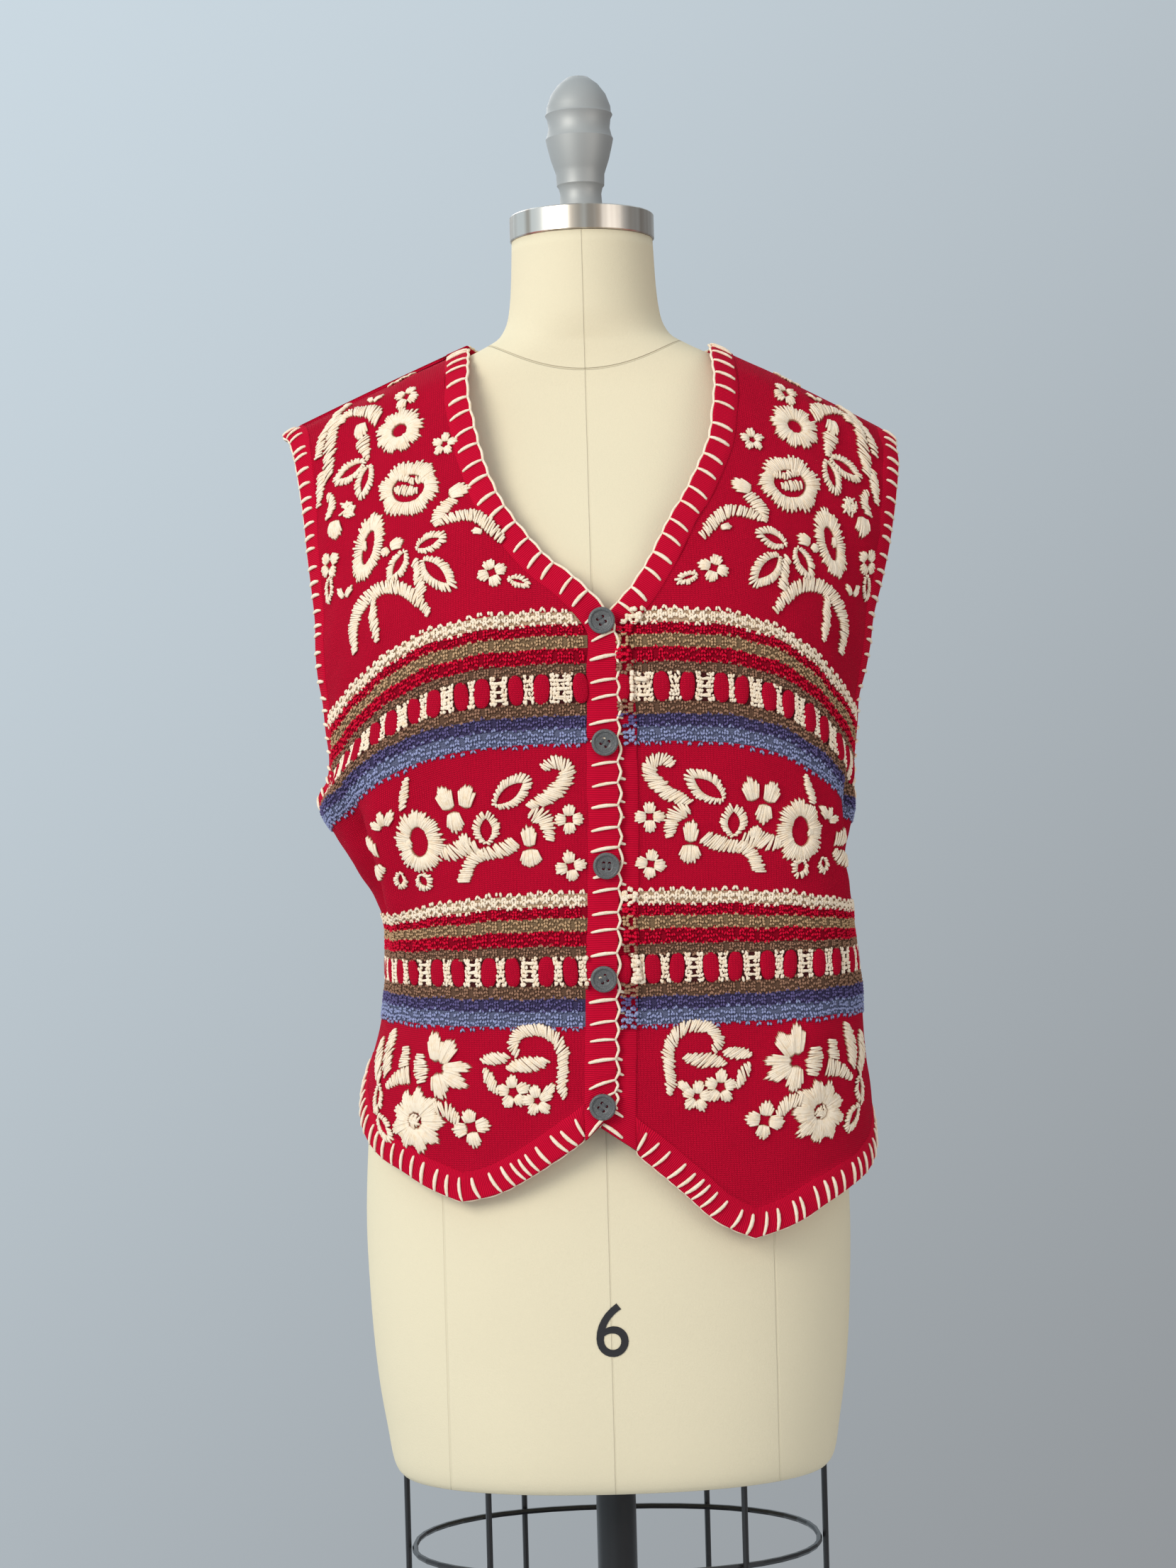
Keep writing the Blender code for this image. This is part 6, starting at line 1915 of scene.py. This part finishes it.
def button_seats():
    """Where each button sits on the right front's band."""
    edge = EDGES["front_band_right"]
    straight = edge.points[:, 2] < 1.20
    seats = []
    for number, height in enumerate(BUTTON_HEIGHTS, start=1):
        along = np.interp(height, edge.points[straight, 2], edge.along[:len(edge.points)][straight])
        _, _, normal, width = edge.read(along)
        seat = edge.on(along, width[0] - BUTTON_ACROSS, BAND_THICKNESS / 2 + 2 * SEAM_GAP)
        across = np.cross((0, 0, 1), normal)
        across /= np.linalg.norm(across)
        up = np.cross(normal, across)
        turned_to = Matrix(np.stack([across, up, normal], axis=1).tolist()).to_4x4()
        turn = Matrix.Rotation(BUTTON_TURN * number, 4, "Z")
        seats.append(Matrix.Translation(seat.tolist()) @ turned_to @ turn)
    return seats


def drill_holes(model):
    """Cuts the four thread holes through a button."""
    for sx in (-1, 1):
        for sy in (-1, 1):
            bpy.ops.mesh.primitive_cylinder_add(
                vertices=16, radius=HOLE_RADIUS, depth=0.012,
                location=(sx * HOLE_REACH, sy * HOLE_REACH, 0),
            )
            drill = bpy.context.active_object
            cut = model.modifiers.new("thread_hole", "BOOLEAN")
            cut.operation, cut.object, cut.solver = "DIFFERENCE", drill, "EXACT"
            bpy.ops.object.select_all(action="DESELECT")
            bpy.context.view_layer.objects.active = model
            model.select_set(True)
            bpy.ops.object.modifier_apply(modifier=cut.name)
            bpy.data.objects.remove(drill)
    model.data.set_sharp_from_angle(angle=math.radians(40))


def button_thread(name, seat, finish):
    """Two double bars of thread that hold a button, each from hole to hole."""
    reach, top, low = HOLE_REACH, BUTTON_HEIGHT * 0.50, BUTTON_HEIGHT * 0.15
    bars = []
    for sy in (-1, 1):
        path = (
            (-reach, sy * reach, low), (-reach * 0.9, sy * reach, top),
            (0, sy * reach * 0.9, top + 0.0003),
            (reach * 0.9, sy * reach, top), (reach, sy * reach, low),
        )
        for shift in (-0.0003, 0.0003):
            bars.append([seat @ Vector((x, y + shift, z)) for x, y, z in path])
    facing = np.tile(np.array(seat.to_3x3().col[2]), (len(bars), 1))
    points, faces = strands(np.array(bars), facing, 0.0006, 0.0005, 6)
    return in_mesh(name, points, faces, finish, points[..., [0, 2]])


def build_buttons(finish, thread):
    """Five four-hole buttons with a raised rim, each sewn on with two bars of thread."""
    radius = BUTTON_RADIUS * BUTTON_SWELL
    profile = [(radius * share, BUTTON_HEIGHT * rise) for share, rise in BUTTON_PROFILE]
    model = turned("button_model", profile, 48, finish, 60)
    drill_holes(model)
    for number, seat in enumerate(button_seats(), start=1):
        mesh = model.data.copy()
        mesh.transform(seat)
        button = bpy.data.objects.new(f"turned_button_{number}", mesh)
        bpy.context.scene.collection.objects.link(button)
        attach(button, "root")
        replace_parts(button, f"button_{number}")
        SEWN["front_right"].append(button_thread(f"button_thread_{number}", seat, thread))
    bpy.data.objects.remove(model)


def add_light(name, place, aim, size, power, colour):
    lamp = bpy.data.lights.new(name, "AREA")
    lamp.shape = "RECTANGLE"
    lamp.size, lamp.size_y = size
    lamp.energy = power
    lamp.color = colour
    thing = bpy.data.objects.new(name, lamp)
    thing.location = place
    thing.rotation_euler = (Vector(aim) - Vector(place)).to_track_quat("-Z", "Y").to_euler()
    bpy.context.scene.collection.objects.link(thing)


def build_stage():
    """A round pale floor, the studio's air, the lights and the camera."""
    finish = Finish("stage_paint", linear((0.78, 0.79, 0.80)), 0.95, shine=0.1)
    bpy.ops.mesh.primitive_cylinder_add(
        vertices=160, radius=FLOOR_RADIUS, depth=FLOOR_DEPTH,
        location=(0, 0, -FLOOR_DEPTH / 2 - FLOOR_GAP),
    )
    floor = bpy.context.active_object
    floor.name = "stage_floor"
    bpy.ops.object.transform_apply(location=True, rotation=False, scale=False)
    floor.data.materials.append(finish.material)

    camera = bpy.data.cameras.new("photo_camera")
    camera.sensor_fit = "VERTICAL"
    camera.sensor_height = SENSOR_HEIGHT
    camera.lens = CAMERA_LENS
    viewer = bpy.data.objects.new("photo_camera", camera)
    viewer.location = CAMERA_PLACE
    viewer.rotation_euler = [math.radians(turn) for turn in CAMERA_TURN]
    bpy.context.scene.collection.objects.link(viewer)
    bpy.context.scene.camera = viewer

    for light in LIGHTS:
        add_light(*light)
    bpy.context.scene.world = Air("studio_air").world
    bpy.context.scene.view_settings.view_transform = "Standard"


def colours():
    return bpy.context.scene.waistcoat_colours


def jersey_finish():
    """Cream jersey, its seams drawn tight: centre, side and neck seams."""
    finish = Finish("form_jersey", None, 0.85, shine=0.15)
    place = finish.place()
    x, _, z = finish.parts(place)
    weave = finish.noise(place, 900.0)
    cloud = finish.noise(place, 9.0)
    out = abs(x)
    neck = abs(z - 1.3475 - x * x * 4.6)
    side_seam = (1 - abs(out - 0.118).ramp(0.0003, 0.0010)) * (z < 1.0)
    seams = (1 - out.ramp(0.0002, 0.0009)) * 0.5 + side_seam * 0.4
    seams = seams + (1 - neck.ramp(0.0003, 0.0010))
    base = linear(colours().jersey)
    cloth = finish.mix(weave * 0.5 + cloud * 0.5, shaded(base, 0.90), base)
    finish.colour(finish.mix(seams * 0.28, cloth, shaded(base, 0.52, 0.46, 0.36)))
    finish.bump(weave * 0.2 - seams, 0.0008)
    return finish


def steel_finish():
    """Bright steel, brushed round the ring."""
    finish = Finish("bright_steel", None, 0.3, 1.0)
    x, y, z = finish.parts(finish.place())
    streaks = finish.noise(finish.node("ShaderNodeCombineXYZ", None, {0: x, 1: y, 2: z * 0.02}), 60.0)
    finish.colour(finish.mix(streaks.ramp(0.35, 0.65), (0.72, 0.68, 0.62), (0.42, 0.36, 0.30)))
    finish.roughness(0.22 + streaks * 0.2)
    return finish


def yarn_colour(name):
    """A yarn's colour as the shader takes it; the checked stripe's ground shows as shadow."""
    return (0.16, 0.03, 0.03) if name == "check" else linear(getattr(colours(), name))


def stripe_share(finish, along):
    """How far down a stripe group a row lies: 0 at its top and 1 at its foot."""
    shares = [(top - along) / (top - bottom) for top, bottom in STRIPE_GROUPS]
    lower = along < (STRIPE_GROUPS[0][1] + STRIPE_GROUPS[1][0]) / 2
    return shares[0] + (shares[1] - shares[0]) * lower


def stripe_colour(finish, share, shade=1.0):
    """The stripes' colours down a group, red above and below it. A shade below 1 paints them in shadow, for
    the ground under the thick stitches; a shade above 1 makes them brighter.
    """
    total = sum(height for _, height, _ in STRIPES)
    stops, place = [(0.0, shaded(yarn_colour("red"), shade))], 0.0
    for name, height, _ in STRIPES:
        # Cream in painted shadow is also tinted a darker tan
        tint = (0.74, 0.60, 0.48) if name == "cream" and shade < 1 else (shade, shade, shade)
        stops.append(((place + 0.1) / 1.2, shaded(yarn_colour(name), *tint)))
        place += height / total
    stops.append((1.1 / 1.2, stops[0][1]))
    return finish.node("ShaderNodeValToRGB", {"stops": stops}, {"Fac": (share + 0.1) / 1.2})


def knit_finish(name, has_stripes):
    """Red stocking stitch, painted with shade in the gaps between its stitches and light on the yarn, which
    shows as dark ground under the thick stripes of the panels, painted there as the stripes' colours in
    shadow.
    """
    finish = Finish(name, None, 0.92, shine=0.08)
    vector, (across, along, _) = finish.cloth_place()
    relief = knit_relief(finish, across, along, WALE, ROW)
    cloud = finish.noise(vector, 35.0, 3.0)
    red = linear(colours().red)
    # Painted shade and light: the relief's gaps darker, the yarn's tops lighter
    shade = finish.mix(relief, shaded(red, 0.50), shaded(red, 1.25))
    plain = finish.mix(cloud * 0.30, shade, shaded(red, 0.72))
    if has_stripes:
        # Under the thick stripes the ground is painted shade: the stripes' colours at half brightness,
        # showing in the gaps between stitches
        share = stripe_share(finish, along)
        striped = (share > 0.012) * (share < 0.985)
        plain = finish.mix(striped, plain, stripe_colour(finish, share, 0.52))
    finish.colour(plain)
    finish.bump(relief + finish.noise(vector, 1400.0) * 0.3, 0.0006)
    return finish


def coloured_finish():
    """Yarn of the thick stripes: each stitch takes its stripe's colour, the wool is mottled, and each stitch
    is painted with shade on its lower sides.
    """
    finish = Finish("striped_yarn", None, 0.92, shine=0.1)
    _, (height, along, _) = finish.cloth_place()
    colour = stripe_colour(finish, stripe_share(finish, along), 1.15)
    mottle = finish.noise(finish.place(), 300.0, 3.0)
    darker = finish.node("ShaderNodeVectorMath", {"operation": "SCALE"}, {0: colour, "Scale": 0.35})
    # Painted shade: each strand darker on its lower sides, where stitches meet and shade falls
    painted_side_shade = 1 - height.ramp(0.2, 1.0)
    finish.colour(finish.mix(painted_side_shade * 0.5 + mottle.ramp(0.35, 0.70) * 0.25, colour, darker))
    finish.bump(finish.noise(finish.place(), 1500.0, 4.0), 0.0006)
    return finish


def cream_finish(name, shade=1.0, groove_shade=0.0):
    """Cream cotton, twisted of fine plies, with painted shadow on the lower sides of each satin stitch, where
    stitches lie side by side.
    """
    finish = Finish(name, None, 0.78, shine=0.2)
    cream = shaded(linear(colours().cream), shade)
    place = finish.place()
    mottle = finish.noise(place, 260.0, 3.0)
    cloth = finish.mix(mottle.ramp(0.40, 0.75), cream, shaded(cream, 0.93, 0.86, 0.76))
    if groove_shade:
        _, (height, _, _) = finish.cloth_place()
        # Painted shade: each strand darker on its lower sides, as shadow between stitches lying side by side
        painted_side_shade = 1 - height.ramp(0.35, 0.95)
        cloth = finish.mix(painted_side_shade * groove_shade, cloth, shaded(cream, 0.50, 0.30, 0.20))
    finish.colour(cloth)
    finish.bump(finish.noise(place, 1800.0, 3.0), 0.0003)
    return finish


def button_finish():
    finish = Finish("grey_button", None, 0.42)
    place = finish.place()
    speckle = finish.noise(place, 1500.0, 3.0)
    grey = linear(colours().button)
    finish.colour(finish.mix(speckle.ramp(0.45, 0.70), shaded(grey, 0.75), shaded(grey, 1.5)))
    finish.bump(finish.noise(place, 900.0), 0.0001)
    return finish


def band_finish():
    """The red bands, with a fine rib across them, painted darker in the rib's grooves and lighter on its
    ridges.
    """
    finish = Finish("red_band", None, 0.92, shine=0.08)
    vector, (along, inward, _) = finish.cloth_place()
    ridge = abs(finish.maths("FRACT", along / RIB_PITCH) * 2 - 1) ** 1.4
    red = linear(colours().red)
    cloud = finish.noise(vector, 60.0, 3.0)
    # Painted shade and light: the rib's grooves darker, its ridges lighter
    shade = finish.mix(ridge, shaded(red, 1.06), shaded(red, 0.48))
    finish.colour(finish.mix(cloud * 0.35, shade, shaded(red, 0.72)))
    finish.bump((1 - ridge) + finish.noise(vector, 1500.0) * 0.3, 0.0004)
    return finish


def swatch(name, description, default):
    """A colour that the panel offers."""
    return bpy.props.FloatVectorProperty(
        name=name, description=description, subtype="COLOR", size=3, min=0, max=1, default=default,
    )


class WaistcoatColours(bpy.types.PropertyGroup):
    """Colours of the knitting and the form, as seen on a screen"""

    red: swatch("Red wool", "Ground of the knitting", (0.86, 0.045, 0.21))
    cream: swatch("Cream cotton", "Embroidery, blanket stitch and open stripes", (0.98, 0.91, 0.82))
    tan: swatch("Tan wool", "Upper brown stripe", (0.78, 0.63, 0.48))
    brown: swatch("Brown wool", "Stripes above and below the check", (0.63, 0.47, 0.38))
    navy: swatch("Navy wool", "Dark blue stripe", (0.40, 0.36, 0.54))
    blue: swatch("Light blue wool", "Lowest stripe of each group", (0.60, 0.62, 0.77))
    button: swatch("Button", "Grey of the buttons", (0.37, 0.37, 0.37))
    jersey: swatch("Jersey", "Cover of the dress form", (0.92, 0.865, 0.745))


class WAISTCOAT_OT_stage(bpy.types.Operator):
    """Sets up the floor, the light and the camera"""

    bl_idname = "waistcoat.stage"
    bl_label = "Stage"

    def execute(self, context):
        build_stage()
        return {"FINISHED"}


class WAISTCOAT_OT_form(bpy.types.Operator):
    """Makes the dress form, its ring and finial, and its stand"""

    bl_idname = "waistcoat.form"
    bl_label = "Dress form"

    def execute(self, context):
        torso = build_form(jersey_finish())
        build_numeral(torso, Finish("numeral_print", linear((0.13, 0.12, 0.13)), 0.6))
        build_neck_fittings(
            steel_finish(),
            Finish("silver_paint", (0.40, 0.40, 0.39), 0.52, 0.35),
        )
        build_stand(Finish("black_enamel", (0.012, 0.011, 0.012), 0.30))
        return {"FINISHED"}


class WAISTCOAT_OT_panels(bpy.types.Operator):
    """Knits the two fronts and the back"""

    bl_idname = "waistcoat.panels"
    bl_label = "Panels"

    def execute(self, context):
        finish = knit_finish("red_knit", True)
        build_fronts(finish)
        build_back(finish)
        return {"FINISHED"}


class WAISTCOAT_OT_bands(bpy.types.Operator):
    """Knits the bands on every edge"""

    bl_idname = "waistcoat.bands"
    bl_label = "Bands"

    def execute(self, context):
        finish = band_finish()
        EDGES.update({
            "front_band_right": front_band_edge(RIGHT), "front_band_left": front_band_edge(LEFT),
            "neck_band_back": back_neck_edge(), "hem_band_back": back_hem_edge(),
            "hem_band_right": hem_edge(RIGHT), "hem_band_left": hem_edge(LEFT),
            "armhole_band_right": armhole_edge(RIGHT), "armhole_band_left": armhole_edge(LEFT),
        })
        for name, edge in EDGES.items():
            piece = band_piece("knit_" + name, edge, finish)
            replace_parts(piece, name)
            SEWN[PANEL_OF_BAND[name]].append(piece)
        return {"FINISHED"}


class WAISTCOAT_OT_stripes(bpy.types.Operator):
    """Knits the thick stitches and the ovals of the stripe groups"""

    bl_idname = "waistcoat.stripes"
    bl_label = "Stripes"

    def execute(self, context):
        cream, coloured = cream_finish("cream_wool", 1.02, 0.45), coloured_finish()
        oval = knit_finish("oval_knit", False)
        for side, face, name, panel in PARTS:
            SEWN[panel].extend(build_stripes(side, face, name, cream, coloured))
            SEWN[panel].append(build_ovals(side, face, name, oval))
        return {"FINISHED"}


class WAISTCOAT_OT_embroidery(bpy.types.Operator):
    """Embroiders the flowers, leaves and scrolls"""

    bl_idname = "waistcoat.embroidery"
    bl_label = "Embroidery"

    def execute(self, context):
        finish = cream_finish("cream_cotton", groove_shade=0.85)
        for side, face, name, panel in PARTS:
            SEWN[panel].append(build_embroidery(side, face, name, finish))
        return {"FINISHED"}


class WAISTCOAT_OT_edging(bpy.types.Operator):
    """Sews blanket stitch along every band"""

    bl_idname = "waistcoat.edging"
    bl_label = "Blanket stitch"

    def execute(self, context):
        finish = cream_finish("cream_cord")
        for name, sizes in EDGING.items():
            piece = blanket(EDGES[name], "stitch_" + name, finish, *sizes)
            SEWN[PANEL_OF_BAND[name]].append(piece)
        return {"FINISHED"}


class WAISTCOAT_OT_buttons(bpy.types.Operator):
    """Turns the buttons and sews them on"""

    bl_idname = "waistcoat.buttons"
    bl_label = "Buttons"

    def execute(self, context):
        build_buttons(button_finish(), Finish("button_thread", (0.10, 0.10, 0.11), 0.8))
        return {"FINISHED"}


class WAISTCOAT_PT_panel(bpy.types.Panel):
    """Lists the steps in the order that main runs them"""

    bl_label = "Knitted waistcoat"
    bl_space_type = "VIEW_3D"
    bl_region_type = "UI"
    bl_category = "Waistcoat"

    def draw(self, context):
        for step in STEPS:
            self.layout.operator(step.bl_idname)
        for name in WaistcoatColours.__annotations__:
            self.layout.prop(context.scene.waistcoat_colours, name)


STEPS = (
    WAISTCOAT_OT_stage, WAISTCOAT_OT_form, WAISTCOAT_OT_panels, WAISTCOAT_OT_bands,
    WAISTCOAT_OT_stripes, WAISTCOAT_OT_embroidery, WAISTCOAT_OT_edging, WAISTCOAT_OT_buttons,
)
GROUPS = {"waistcoat_colours": WaistcoatColours}


def register():
    for kind in (*GROUPS.values(), *STEPS, WAISTCOAT_PT_panel):
        bpy.utils.register_class(kind)
    for name, kind in GROUPS.items():
        setattr(bpy.types.Scene, name, bpy.props.PointerProperty(type=kind))


def unregister():
    for name in GROUPS:
        delattr(bpy.types.Scene, name)
    for kind in reversed((*GROUPS.values(), *STEPS, WAISTCOAT_PT_panel)):
        bpy.utils.unregister_class(kind)


def main():
    register()
    for step in STEPS:
        group, name = step.bl_idname.split(".")
        getattr(getattr(bpy.ops, group), name)()
    for name, (piece, places) in PANELS.items():
        declare_sheet(piece, places)


if __name__ == "__main__":
    main()
